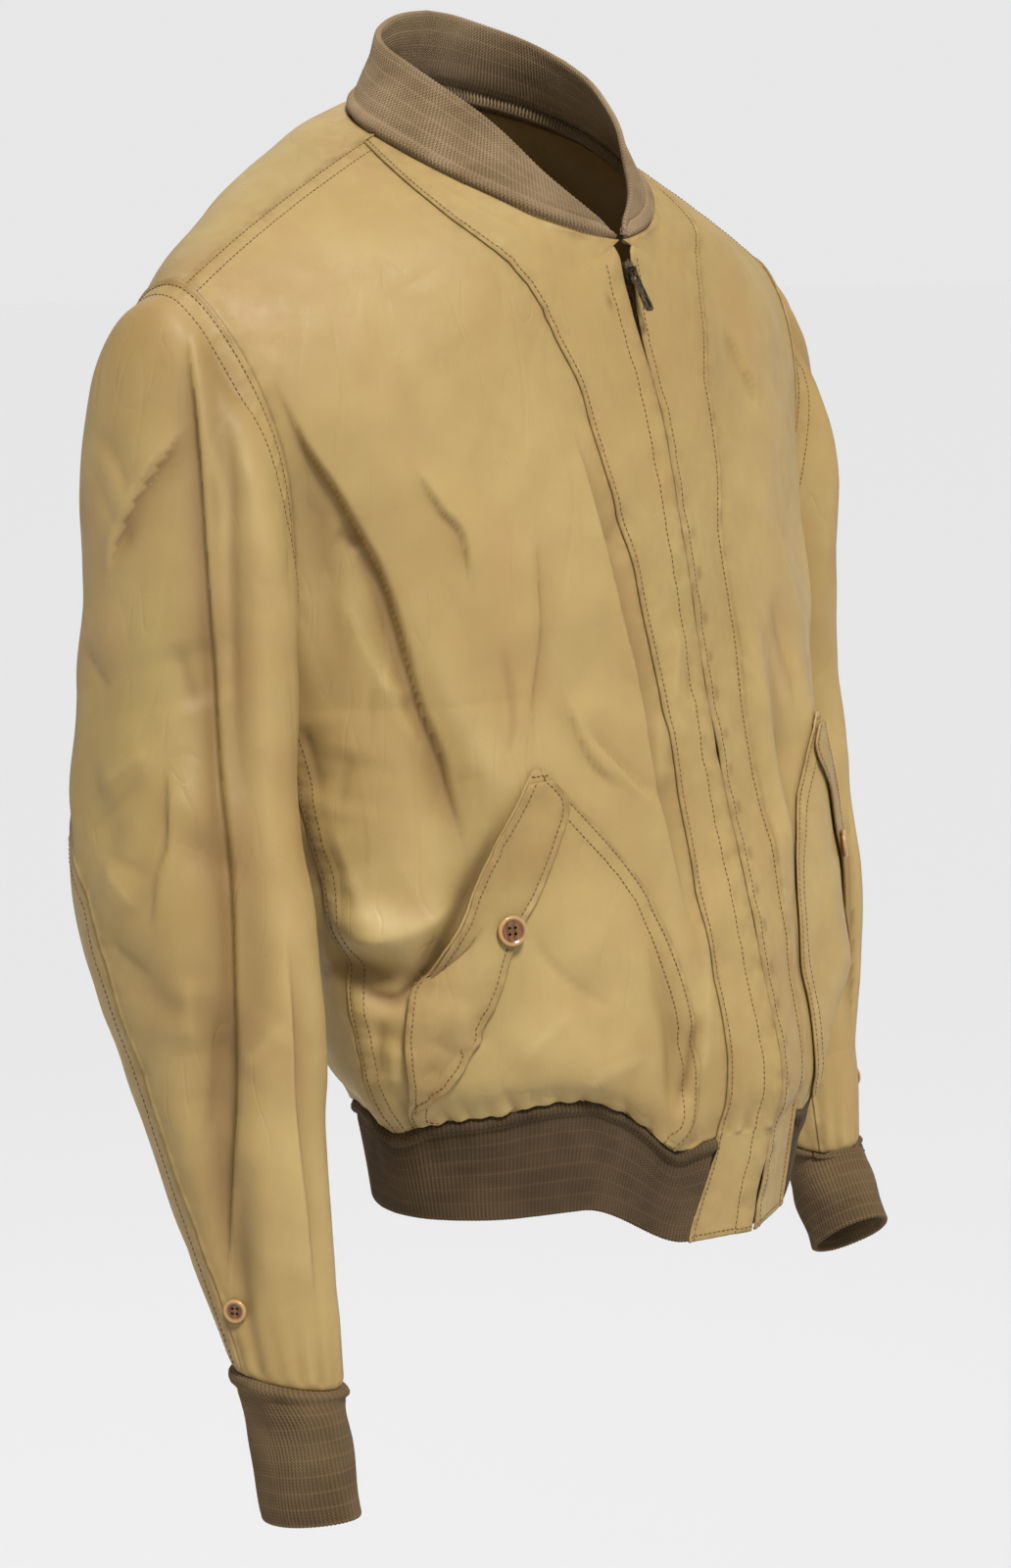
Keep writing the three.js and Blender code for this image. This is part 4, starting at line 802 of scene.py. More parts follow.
def shell(name, points, normals, quads, blocks, thickness, attributes, material):
    """A closed thin wall with rounded edges, from its outer points and faces and its larger inner faces."""
    count = len(points)
    corner = points[quads[:, 0]]
    facing = np.cross(points[quads[:, 1]] - corner, points[quads[:, 2]] - corner)
    if (facing * normals[quads[:, 0]]).sum() < 0:
        quads = quads[:, ::-1]
        blocks = [face[::-1] for face in blocks]
    edges = np.concatenate([quads[:, [k, (k + 1) % 4]] for k in range(4)])
    paired = np.isin(edges[:, 0] * count + edges[:, 1], edges[:, 1] * count + edges[:, 0])
    free = edges[~paired]
    outward = np.zeros_like(points)
    beside = np.cross(unit(points[free[:, 1]] - points[free[:, 0]]), normals[free[:, 0]])
    np.add.at(outward, free[:, 0], beside)
    np.add.at(outward, free[:, 1], beside)
    rim, place = np.unique(free, return_inverse=True)
    place = place.reshape(free.shape) + 2 * count
    bulge = points[rim] - normals[rim] * thickness / 2 + unit(outward[rim]) * RIM_BULGE * thickness
    a, b, ma, mb = free[:, 0], free[:, 1], place[:, 0], place[:, 1]
    rim_faces = np.concatenate([np.stack([b, a, ma, mb], -1), np.stack([mb, ma, a + count, b + count], -1)])
    inside = [[k + count for k in face[::-1]] for face in blocks]
    faces = quads.tolist() + rim_faces.tolist() + inside
    kept = np.unique([k for face in faces for k in face])
    number = np.zeros(2 * count + len(rim), int)
    number[kept] = np.arange(len(kept))
    faces = [[int(number[k]) for k in face] for face in faces]
    every = np.concatenate([points, points - normals * thickness, bulge])[kept]
    spread_out = {key: np.concatenate([v, v, v[rim]])[kept] for key, v in attributes.items()}
    return make_object(name, every, faces, spread_out, material)


def grid_shell(name, points, normals, thickness, attributes, material):
    faces = grid_quads(*points.shape[:2]), grid_blocks(*points.shape[:2])
    outer = points.reshape(-1, 3), normals.reshape(-1, 3)
    return shell(name, *outer, *faces, thickness, attributes, material)


def ring_quads(rings, size, first=0):
    """Faces between rings of points that follow each other."""
    faces = []
    for low in range(first, first + (rings - 1) * size, size):
        for a in range(size):
            b = (a + 1) % size
            faces.append((low + a, low + b, low + size + b, low + size + a))
    return faces


# Stitches: rings along each one, as shares of its length and width
STITCH_PITCH = 3.1
STITCH_LENGTH = 2.3
STITCH_WIDTH = 0.75
STITCH_HEIGHT = 0.6
STITCH_LIFT = 0.16
STITCH_SIDES = 5
STITCH_RINGS = [(-0.36, 0.75), (0, 1), (0.36, 0.75)]
STITCH_SINK = 0.1


def stitches(name, lines, material):
    """Every stitch of a piece as one mesh: small spindles that lie along its stitch lines."""
    sides = STITCH_SIDES
    shape = [(-0.5 * STITCH_LENGTH, 0, -STITCH_SINK)]
    for x, size in STITCH_RINGS:
        for angle in np.arange(sides) * 2 * np.pi / sides:
            beside, up = size * STITCH_WIDTH / 2 * math.cos(angle), size * STITCH_HEIGHT / 2 * math.sin(angle)
            shape.append((x * STITCH_LENGTH, beside, up))
    shape = np.array(shape + [(0.5 * STITCH_LENGTH, 0, -STITCH_SINK)])
    last = len(shape) - 1
    around = [(k, (k + 1) % sides) for k in range(sides)]
    faces = [(0, 1 + b, 1 + a) for a, b in around]
    faces += ring_quads(len(STITCH_RINGS), sides, 1)
    faces += [(last, last - sides + a, last - sides + b) for a, b in around]
    points = []
    for line, normals in lines:
        run = path_length(line)
        count = max(1, int(run[-1] / STITCH_PITCH))
        places = (np.arange(count) + 0.5) * run[-1] / count
        at = resample(line, run, places)
        ahead = unit(resample(line, run, places + 0.6) - resample(line, run, places - 0.6))
        out = unit(resample(normals, run, places))
        beside = unit(np.cross(out, ahead))
        up = np.cross(ahead, beside)
        axes = np.stack([ahead, beside, up], 1)
        points.append((at + STITCH_LIFT * up)[:, None] + np.einsum("kc,ncd->nkd", shape, axes))
    points = np.concatenate(points)
    every = [tuple(n * len(shape) + k for k in face) for n in range(len(points)) for face in faces]
    return make_object(name, points.reshape(-1, 3), every, {}, material)


# Materials
class Nodes:
    """Adds shader nodes to a material and joins them."""

    def __init__(self, name):
        self.material = bpy.data.materials.new(name)
        self.material.use_nodes = True
        self.tree = self.material.node_tree
        self.shader = self.tree.nodes["Principled BSDF"]

    def add(self, kind, inputs=(), **settings):
        node = self.tree.nodes.new(kind)
        for key, value in settings.items():
            setattr(node, key, value)
        for key, value in dict(inputs).items():
            if isinstance(value, bpy.types.NodeSocket):
                self.tree.links.new(value, node.inputs[key])
            else:
                node.inputs[key].default_value = value
        return node

    def place(self, stretch=(1, 1, 1)):
        where = self.add("ShaderNodeTexCoord").outputs["Object"]
        return self.add("ShaderNodeMapping", {"Vector": where, "Scale": stretch}).outputs[0]

    def noise(self, scale, detail=3.0, stretch=(1, 1, 1)):
        inputs = {"Vector": self.place(stretch), "Scale": scale, "Detail": detail}
        return self.add("ShaderNodeTexNoise", inputs).outputs["Fac"]

    def value(self, name):
        return self.add("ShaderNodeAttribute", attribute_name=name).outputs["Fac"]

    def math(self, operation, a, b=0.0):
        return self.add("ShaderNodeMath", {0: a, 1: b}, operation=operation).outputs[0]

    def between(self, value, low, high, to_low=0.0, to_high=1.0):
        limits = {"Value": value, "From Min": low, "From Max": high, "To Min": to_low, "To Max": to_high}
        return self.add("ShaderNodeMapRange", limits).outputs[0]

    def mix(self, share, first, second):
        return self.add("ShaderNodeMix", {0: share, 6: first, 7: second}, data_type="RGBA").outputs[2]

    def bump(self, height, strength, distance, under=None):
        inputs = {"Height": height, "Strength": strength, "Distance": distance * MM}
        if under is not None:
            inputs["Normal"] = under
        return self.add("ShaderNodeBump", inputs).outputs[0]

    def finish(self, colour, roughness, normal, **constants):
        self.tree.links.new(colour, self.shader.inputs["Base Color"])
        self.tree.links.new(roughness, self.shader.inputs["Roughness"])
        self.tree.links.new(normal, self.shader.inputs["Normal"])
        for key, value in constants.items():
            self.shader.inputs[key.replace("_", " ")].default_value = value
        return self.material


def colour(red, green, blue):
    """A colour given as a screen shows it, 0 to 255."""
    def linear(c):
        c /= 255
        return c / 12.92 if c < 0.04045 else ((c + 0.055) / 1.055) ** 2.4
    return (linear(red), linear(green), linear(blue), 1)


# Fine wrinkles of the leather: the scale of their noise and their depth
WRINKLES = ((15, 0.55), (31, 0.35))
WRINKLE_STRETCH = (1.6, 1.6, 0.4)


def leather_material():
    n = Nodes("worn_tan_leather")
    patchy = n.between(n.noise(120, 3), 0.3, 0.66, 0, 0.42)
    tone = n.mix(n.between(n.noise(7, 3), 0.36, 0.66), colour(163, 136, 83), colour(175, 150, 96))
    tints = {
        "cloudy": (n.between(n.noise(26, 4), 0.35, 0.68, 0, 0.42), (152, 123, 74)),
        "rosy": (n.between(n.noise(12, 2, (1.7, 0.8, 0.6)), 0.52, 0.7, 0, 0.4), (164, 126, 82)),
        "olive": (n.between(n.noise(9, 2, (0.7, 1.4, 0.5)), 0.54, 0.72, 0, 0.4), (147, 132, 78)),
        # Painted shade darkens the troughs, partly also dirt and wear, and a painted highlight lightens the
        # ridges
        "troughs": (n.between(n.value("crease"), -0.05, -1.0, 0, 0.6), (108, 77, 42)),
        "ridges": (n.between(n.value("crease"), 0.1, 1.0, 0, 0.35), (190, 168, 118)),
        "grime": (n.math("MULTIPLY", n.value("grime"), patchy), (104, 76, 42)),
        "stains": (n.math("MULTIPLY", n.value("stain"), 0.8), (108, 70, 34)),
        "specks": (n.between(n.noise(420, 2), 0.68, 0.8, 0, 0.25), (132, 102, 62)),
    }
    for share, tint in tints.values():
        tone = n.mix(share, tone, colour(*tint))
    pores = n.add("ShaderNodeTexVoronoi", {"Vector": n.place(), "Scale": 760.0}, feature="SMOOTH_F1")
    grain = n.bump(pores.outputs["Distance"], 0.16, 0.25)
    grain = n.bump(n.noise(150, 4, (1.4, 1.4, 0.6)), 0.2, 0.6, grain)
    for scale, depth in WRINKLES:
        winding = n.math("ABSOLUTE", n.math("SUBTRACT", n.noise(scale, 1, WRINKLE_STRETCH), 0.5))
        shown = n.between(n.noise(0.6 * scale, 1), 0.45, 0.62)
        wrinkle = n.math("MULTIPLY", n.between(winding, 0.03, 0, 0, 1), shown)
        grain = n.bump(n.math("SUBTRACT", 1.0, wrinkle), 0.5, depth, grain)
    gloss = n.between(n.noise(60, 3), 0.3, 0.7, 0.5, 0.66)
    return n.finish(tone, gloss, grain, Specular_IOR_Level=0.36)


# Rib knit: the distance from rib to rib, from loop to loop and from stripe to stripe
RIB_PITCH = 2.4
LOOP_PITCH = 1.7
STRIPE_PITCH = 8.5


def knit_material(name, light, dark):
    n = Nodes(name)

    def turns(attribute, pitch):
        return n.math("MULTIPLY", n.value(attribute), 2 * math.pi / pitch)

    wale = n.math("COSINE", turns("wale", RIB_PITCH))
    loops = n.math("SINE", n.math("ADD", turns("course", LOOP_PITCH), n.math("MULTIPLY", wale, 2.2)))
    stripe = n.math("COSINE", turns("course", STRIPE_PITCH))
    fuzz = n.noise(900, 3)
    tone = n.mix(n.between(n.noise(22, 3), 0.35, 0.68), dark, light)
    # Painted shade darkens the hollows between the ribs
    tone = n.mix(n.between(n.value("rib"), 1, 0, 0, 0.62), tone, (0.02, 0.013, 0.008, 1))
    streaks = n.between(n.noise(60, 2, (0.2, 0.2, 3.2)), 0.5, 0.75, 0, 0.22)
    tone = n.mix(streaks, tone, light)
    # Painted shade darkens the hollows between the loops
    tone = n.mix(n.between(loops, -1, 1, 0.3, 0), tone, (0.03, 0.02, 0.012, 1))
    tone = n.mix(n.between(stripe, 0.8, 1, 0, 0.3), tone, light)
    normal = n.bump(loops, 0.55, 0.35)
    normal = n.bump(fuzz, 0.5, 0.3, normal)
    rough = n.between(n.noise(200, 2), 0.3, 0.7, 0.86, 0.98)
    return n.finish(tone, rough, normal, Specular_IOR_Level=0.1, Sheen_Weight=0.06, Sheen_Roughness=0.6)


def thread_material():
    n = Nodes("brown_thread")
    tone = n.mix(n.between(n.noise(240, 2), 0.35, 0.65), colour(92, 64, 34), colour(130, 98, 56))
    normal = n.bump(n.noise(2600, 2), 0.4, 0.1)
    return n.finish(tone, n.between(n.noise(500, 1), 0.3, 0.7, 0.6, 0.8), normal, Specular_IOR_Level=0.3)


def tape_material():
    n = Nodes("woven_tape")
    weave = n.add("ShaderNodeTexWave", {"Vector": n.place(), "Scale": 420.0, "Distortion": 1.5})
    tone = n.mix(weave.outputs["Fac"], colour(66, 52, 36), colour(98, 78, 54))
    normal = n.bump(weave.outputs["Fac"], 0.5, 0.2)
    return n.finish(tone, n.between(n.noise(300, 2), 0.3, 0.7, 0.82, 0.95), normal, Specular_IOR_Level=0.2)


def brass_material():
    n = Nodes("aged_brass")
    worn = n.between(n.noise(260, 4), 0.42, 0.64)
    tone = n.mix(worn, colour(62, 56, 46), colour(138, 122, 92))
    normal = n.bump(n.noise(900, 3), 0.25, 0.08)
    return n.finish(tone, n.between(worn, 0, 1, 0.5, 0.28), normal, Metallic=0.85)


def button_material():
    n = Nodes("brown_horn")
    waves = {"Vector": n.place(), "Scale": 90.0, "Distortion": 7.0, "Detail": 3.0}
    swirl = n.add("ShaderNodeTexWave", waves)
    tone = n.mix(swirl.outputs["Fac"], colour(92, 54, 26), colour(122, 78, 40))
    tone = n.mix(n.value("rim"), tone, colour(176, 136, 84))
    normal = n.bump(n.noise(700, 2), 0.1, 0.1)
    return n.finish(tone, n.between(n.noise(140, 2), 0.3, 0.7, 0.26, 0.42), normal, Coat_Weight=0.3)


LEATHER_LOOK = leather_material()
COLLAR_LOOK = knit_material("faded_rib_knit", colour(172, 146, 112), colour(142, 117, 84))
BAND_LOOK = knit_material("brown_rib_knit", colour(104, 83, 55), colour(76, 59, 37))
# The cuffs' knit is a lighter copy of the waistband's, standing in for the light that falls on the cuffs:
# painted light
CUFF_LOOK = knit_material("rib_knit_painted_lighter", colour(128, 104, 72), colour(98, 77, 50))
THREAD_LOOK = thread_material()
TAPE_LOOK = tape_material()
BRASS_LOOK = brass_material()
BUTTON_LOOK = button_material()


def place(obj, slot, *nodes, body="jacket"):
    """Hangs a piece on its body, in place of its solids, which it hides."""
    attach(obj, body)
    if nodes:
        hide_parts(*nodes)
    return obj


def sewn_piece(kind, name, grid, toward, mark, seams, rows, stain=None, thickness=LEATHER):
    """One leather piece with its seams and stitches, from a grid of points on its outer face."""
    points, normals, dirt, lines = sew(grid, toward, seams, rows)
    attributes = {
        # crease holds the painted shade and painted highlight of the folds and creases, partly also dirt and
        # wear
        "crease": np.clip(mark, -1, 1).ravel(),
        "grime": dirt.ravel(),
        "stain": np.zeros(dirt.size) if stain is None else stain.ravel(),
    }
    node = f"{kind}_{name}"
    obj = grid_shell(f"{node}_hide", points, normals, thickness, attributes, LEATHER_LOOK)
    finish_sheet(obj, node, lines)


def finish_sheet(obj, node, lines):
    place(obj, "leather", node)
    extra = []
    if lines:
        extra = [place(stitches(f"{node}_stitching", lines, THREAD_LOOK), "leather")]


# Body panels
PANEL_WIDTH = [(0, 47), (1, 40), (3.6, 37), (4.6, 42), (5.4, 56), (6, 82)]
PANEL_TOP_S = 0.94
FINE, COARSE, REACH = 1.5, 2.5, 26
FRONT_COARSE = {RIGHT: 1.9, LEFT: 3.2}
BACK_COARSE = 4.2
FRONT_SIDE_WIDTH = 240
FRONT_CENTRE_WIDTH = 62
BACK_WIDTH = 300
WIDTH_STEPS = 24
NUDGE = 1e-3


def s_at_width(side, t, width):
    """The share of the way to the centre that lies a width from it, found in short steps."""
    s = np.ones_like(t)
    for _ in range(WIDTH_STEPS):
        at = np.clip(s, 0.01, 0.99)
        reach = torso_rows("front", side, at + NUDGE, t) - torso_rows("front", side, at - NUDGE, t)
        s = s - width / WIDTH_STEPS * 2 * NUDGE / np.linalg.norm(reach, axis=-1)
    return s


def seam_at(side, t):
    level = np.minimum(t, NECK_ROW)
    s = s_at_width(side, level, along(PANEL_WIDTH, level))
    return s + (PANEL_TOP_S - s) * np.clip(t - NECK_ROW, 0, 1) ** 1.15


def panel_seam(side, t):
    """Where the seam between the side and centre fronts runs, as a share of the way to the centre."""
    return eased(lambda level: seam_at(side, level), t, 0.3 * bump((t - NECK_ROW) / 0.45))


# Where the closed zip parts a little: level, reach and half opening
ZIP_SLACK = ((3.62, 0.09, 1.1), (0.42, 0.2, 1.9), (0.05, 0.12, 1.2))


def zip_gap(t):
    """Half the opening between the front edges, parted at the neck and where the zip is slack."""
    mouth = (ZIP_MOUTH - ZIP_EDGE) * smooth((t - ZIP_MOUTH_FROM) / (NECK_ROW - ZIP_MOUTH_FROM))
    return ZIP_EDGE + mouth + sum(opening * bump((t - at) / reach) for at, reach, opening in ZIP_SLACK)


def rows_through(half, side, s, levels, coarse=COARSE):
    """The levels of a panel's rows, closer together beside each of the levels given."""
    rows = [levels[:1]]
    for low, high in zip(levels, levels[1:]):
        t = np.linspace(low, high, 400)
        run = path_length(torso_base(half, side, np.full_like(t, s), t))
        rows.append(np.interp(spread(run[-1], FINE, coarse, REACH), run / run[-1], t)[1:])
    return np.concatenate(rows)


def grid_between(first, last, shares, rows):
    s = first + shares[:, None] * (last - first)
    return s, np.broadcast_to(rows, s.shape)


# Pocket lines: a runs from the slanted mouth (0) to the front edge (1)
POCKET_BACK = [(1, 0.08), (1.8, 0.15), (2.47, 0.215), (3.127, 0.443), (3.66, 0.645)]
POCKET_FRONT = [(1, 0.86), (1.6, 0.9), (2.2, 0.917), (2.944, 0.862), (3.406, 0.745), (3.66, 0.672)]
POCKET_LIFT = 1
POCKET_THICKNESS = 1.4
POCKET_GAPE = 6
MOUTH_FROM, MOUTH_TO = 2.3, 3.66
MOUTH_BAND = [(1.4, 0.03), (1.8, 0.14), (2.47, 0.3), (2.94, 0.36), (3.33, 0.6), (3.52, 0.93)]
MOUTH_BAND_LIFT = 1.05
MOUTH_BAND_STAIN = 0.2
MOUTH_HOLLOW = 5
MOUTH_HOLLOW_AT, MOUTH_HOLLOW_WIDTH = 0.02, 0.045


def pocket_opened(rows):
    """How far the pocket's mouth stands open at a level, 0 to 1."""
    return np.sin(np.pi * np.clip((rows - MOUTH_FROM) / (MOUTH_TO - MOUTH_FROM), 0, 1)) ** 2


def front_side(name, side):
    rows = rows_through("front", side, 0.3, (BAND_SEAM, SHOULDER_ROW), FRONT_COARSE[side])
    shares = spread(FRONT_SIDE_WIDTH, FINE, FRONT_COARSE[side], REACH)
    s, t = grid_between(np.zeros_like(rows), panel_seam(side, rows), shares, rows)
    points, out, mark = torso_surface("front", side, s, t)
    inside = s / panel_seam(side, rows) - curve(POCKET_BACK, t)
    behind = pocket_opened(t) * bump((inside - MOUTH_HOLLOW_AT) / MOUTH_HOLLOW_WIDTH)
    points = points - out * (MOUTH_HOLLOW * behind)[..., None]
    # The hollow behind the pocket's mouth is darkened too: painted shade in the hollow, partly also dirt
    mark = mark - behind
    seams = [
        ("start", "felled", BAND_SEAM, 3.9),
        ("start", "sunk", UNDERARM_ROW, SHOULDER_ROW),
        ("end", "sunk", BAND_SEAM, SHOULDER_ROW),
        ("top", "felled", 0, 0),
    ]
    sewn_piece("front_side", name, points, out, mark, seams, rows)


# Rub marks and the scratch: millimetres from the zip's edge and levels
RUB_PITCH = 23
RUB_AT, RUB_WIDTH = 9.5, 2.6
EDGE_RUB_AT, EDGE_RUB_WIDTH = 1.5, 1.6
RUB_STRENGTH = {RIGHT: 0.16, LEFT: 0.5}
SCRATCH_AT, SCRATCH_LEVEL = 17, 5.78
SCRATCH_STRENGTH = {RIGHT: 0.75, LEFT: 0}


def placket_stain(side, points, rows):
    """Brown rub marks beside the zip, and a scratch by the neck on the wearer's right."""
    away, run = edge_runs(points, "end")
    dash = smooth((np.cos(2 * np.pi * run / RUB_PITCH + 0.6 * pucker(run, 70)) - 0.45) / 0.4)
    beside = 0.5 * smooth(pucker(run, 12)) * bump((away - EDGE_RUB_AT) / EDGE_RUB_WIDTH)
    marks = dash * bump((away - RUB_AT) / RUB_WIDTH) + beside
    marks = turned_back(marks * smooth((5.2 - rows) / 0.6), "end") * RUB_STRENGTH[side]
    scratch = bump((turned_back(away, "end") - SCRATCH_AT) / 2.4) * bump((rows - SCRATCH_LEVEL) / 0.035)
    return np.clip(marks + SCRATCH_STRENGTH[side] * scratch, 0, 1)


def front_centre(name, side):
    rows = rows_through("front", side, 0.95, (HEM, BAND_SEAM, NECK_ROW, SHOULDER_ROW))
    edge = np.where(rows <= NECK_ROW, s_at_width(side, rows, zip_gap(rows)), 1.0)
    shares = spread(FRONT_CENTRE_WIDTH, 1.4, 2.2, 20)
    s, t = grid_between(panel_seam(side, rows), edge, shares, rows)
    points, out, mark = torso_surface("front", side, s, t)
    seams = [
        ("start", "corded", HEM, SHOULDER_ROW),
        ("end", f"zip_{name}", HEM, 5.95),
        ("end", "sunk", NECK_ROW, SHOULDER_ROW),
        ("bottom", "turned", 0, 0),
        ("top", "sunk", 0, 0),
    ]
    stain = placket_stain(side, points, rows)
    sewn_piece("front_centre", name, points, out, mark, seams, rows, stain)


def back_panel():
    """Both halves of the back as one piece, joined along the centre as far as the neck."""
    rows = rows_through("back", RIGHT, 0.6, (BAND_SEAM, NECK_ROW, SHOULDER_ROW), BACK_COARSE)
    shares = spread(BACK_WIDTH, FINE, BACK_COARSE, REACH)
    s, t = grid_between(np.zeros_like(rows), np.ones_like(rows), shares, rows)
    seams = [
        ("start", "sunk", BAND_SEAM, SHOULDER_ROW),
        ("top", "piped", 0, 0),
        ("end", "sunk", NECK_ROW, SHOULDER_ROW),
    ]
    halves = []
    for side in (RIGHT, LEFT):
        points, out, mark = torso_surface("back", side, s, t)
        points, normals, dirt, _ = sew(points, out, seams, rows)
        halves.append((points, normals, dirt, np.clip(mark, -1, 1)))
    middle = np.flatnonzero(rows <= NECK_ROW)
    for k in (0, 1):
        shared = (halves[0][k][-1, middle] + halves[1][k][-1, middle]) / 2
        for half in halves:
            half[k][-1, middle] = shared if k == 0 else unit(shared * (0, 1, 1))
    columns, levels = s.shape
    centre = (columns - 1) * levels + middle
    merged = np.arange(2 * s.size)
    merged[s.size + centre] = centre
    kept, new = np.unique(merged, return_inverse=True)
    new = new.reshape(-1)
    quads, blocks = grid_quads(columns, levels), grid_blocks(columns, levels)
    quads = new[np.concatenate([quads[:, ::-1], quads + s.size])]
    blocks = [face[::-1] for face in blocks] + [[k + s.size for k in face] for face in blocks]
    blocks = [new[face].tolist() for face in blocks]
    points, normals, dirt, mark = (
        np.concatenate([right.reshape(s.size, -1), left.reshape(s.size, -1)])[kept].squeeze()
        for right, left in zip(*halves)
    )
    # crease holds the painted shade and painted highlight of the folds and creases, partly also dirt and wear
    attributes = {"crease": mark, "grime": dirt, "stain": np.zeros(len(kept))}
    obj = shell("back_hide", points, normals, quads, blocks, LEATHER, attributes, LEATHER_LOOK)
    finish_sheet(obj, "back", [])


# Sleeves
FRONT_SEAM_U = 5 / 12
BACK_SEAM_U = -7 / 24
BACK_SEAM_DRIFT = {
    RIGHT: [(0, 0), (1.5, 0.05), (2.5, 0.13), (3.2, 0.23), (5, 0.275)],
    LEFT: [(0, 0), (1.5, 0.07), (2.5, 0.17), (3.2, 0.28), (5, 0.36)],
}


def drifted(side, first, v):
    """Where a column of the sleeve has come to: it drifts with the back seam, and not at the front seam."""
    upper = (FRONT_SEAM_U - first) / (FRONT_SEAM_U - BACK_SEAM_U)
    under = (first - FRONT_SEAM_U) / (1 + BACK_SEAM_U - FRONT_SEAM_U)
    return first + np.where(first <= FRONT_SEAM_U, upper, under) * along(BACK_SEAM_DRIFT[side], v)


SLEEVE_COARSE = {RIGHT: 2.1, LEFT: 3.5}
SLEEVE_UPPER_WIDTH = 330
SLEEVE_UNDER_WIDTH = 170
SLEEVE_END_SEAMS = [("bottom", "armhole", 0, 0), ("top", "sunk", 0, 0)]
UPPER_SEAMS = [("start", "piped", 0, SLEEVE_END), ("end", "piped", 0, SLEEVE_END), *SLEEVE_END_SEAMS]
UNDER_SEAMS = [("start", "sunk", 0, SLEEVE_END), ("end", "lapped", 0, SLEEVE_END), *SLEEVE_END_SEAMS]


def sleeve_panel(kind, name, side, first, last, width, seams):
    coarse = SLEEVE_COARSE[side]
    v = np.linspace(0, SLEEVE_END, 400)
    run = path_length(sleeve_base(side, np.full_like(v, 0.1), v))
    rows = np.interp(spread(run[-1], FINE, coarse, REACH), run / run[-1], v)
    columns = first + (last - first) * spread(width, FINE, coarse, REACH)
    start, v = np.meshgrid(columns, rows, indexing="ij")
    points, out, mark = sleeve_surface(side, drifted(side, start, v), v)
    sewn_piece(kind, name, points, out, mark, seams, rows)


def sleeve_pieces(name, side):
    sleeve_panel("sleeve_upper", name, side, BACK_SEAM_U, FRONT_SEAM_U, SLEEVE_UPPER_WIDTH, UPPER_SEAMS)
    sleeve_panel("sleeve_under", name, side, FRONT_SEAM_U, 1 + BACK_SEAM_U, SLEEVE_UNDER_WIDTH, UNDER_SEAMS)


# Pockets
POCKET_FOOT = 1.04
POCKET_FULLNESS = 1.6
BAND_FOOT, BAND_HEAD = 1.4, 3.6
BAND_INSET = 0.004


def pocket_surface(side, a, rows):
    share = curve(POCKET_BACK, rows) * (1 - a) + curve(POCKET_FRONT, rows) * a
    s = share * panel_seam(side, rows)
    t = np.broadcast_to(rows, s.shape)
    points, out, mark = torso_surface("front", side, s, t)
    normals = grid_normals(points, out)
    full = np.sin(np.pi * a) * np.sin(np.pi * (rows - BAND_SEAM) / (MOUTH_TO - BAND_SEAM))
    height = POCKET_LIFT + POCKET_THICKNESS + POCKET_FULLNESS * full
    height = height + POCKET_GAPE * (1 - a) ** 2 * pocket_opened(rows)
    return points + normals * height[..., None], normals, mark


def pocket_pieces(name, side):
    rows = POCKET_FOOT + (MOUTH_TO - POCKET_FOOT) * spread(150, 1.3, 2.6, 20)
    shares = spread(170, 1.3, 2.6, 20)[:, None]
    a = np.broadcast_to(shares, (len(shares), len(rows)))
    points, out, mark = pocket_surface(side, a, rows)
    seams = [
        ("end", "felled", BAND_SEAM, BAND_HEAD), ("start", "felled", BAND_SEAM, 1.5), ("top", "turned", 0, 0),
    ]
    sewn_piece("pocket", name, points, out, mark, seams, rows, thickness=POCKET_THICKNESS)
    rows = BAND_FOOT + (BAND_HEAD - BAND_FOOT) * spread(120, 1.2, 2.4, 16)
    shares = spread(50, 1.0, 1.8, 12)[:, None]
    points, out, mark = pocket_surface(side, BAND_INSET + shares * curve(MOUTH_BAND, rows), rows)
    points = points + out * (MOUTH_BAND_LIFT + POCKET_THICKNESS)
    seams = [("start", "turned", BAND_FOOT, BAND_HEAD), ("end", "corded", BAND_FOOT, BAND_HEAD)]
    stain = MOUTH_BAND_STAIN + 0.1 * ripple(points, 40, 51)
    sewn_piece("pocket_band", name, points, out, mark, seams, rows, stain, POCKET_THICKNESS)


# Rib knit trims
RIB_STEPS = 5
RIB_HEIGHT = 0.8
TUCK = LEATHER + 1.4
ROUND_EDGE = [math.radians(a) for a in (40, 90, 140)]
ROUND_EDGE_DEPTHS = np.array([1, 2.5, 4])
EDGE_DEPTH = 5


def roll(height):
    """How far the knit stands out at a height above its seam: a rolled edge, then a shallow groove."""
    rolled = 2.4 * np.sin(np.pi * np.clip(height / ROLL_HEIGHT, 0, 1))
    return rolled - 0.5 * bump((height - ROLL_HEIGHT) / 1.2)


def tucked(height):
    """How far the knit is drawn in behind the leather's edge at a height above its seam."""
    return TUCK * smooth(1 - height / 1.5)


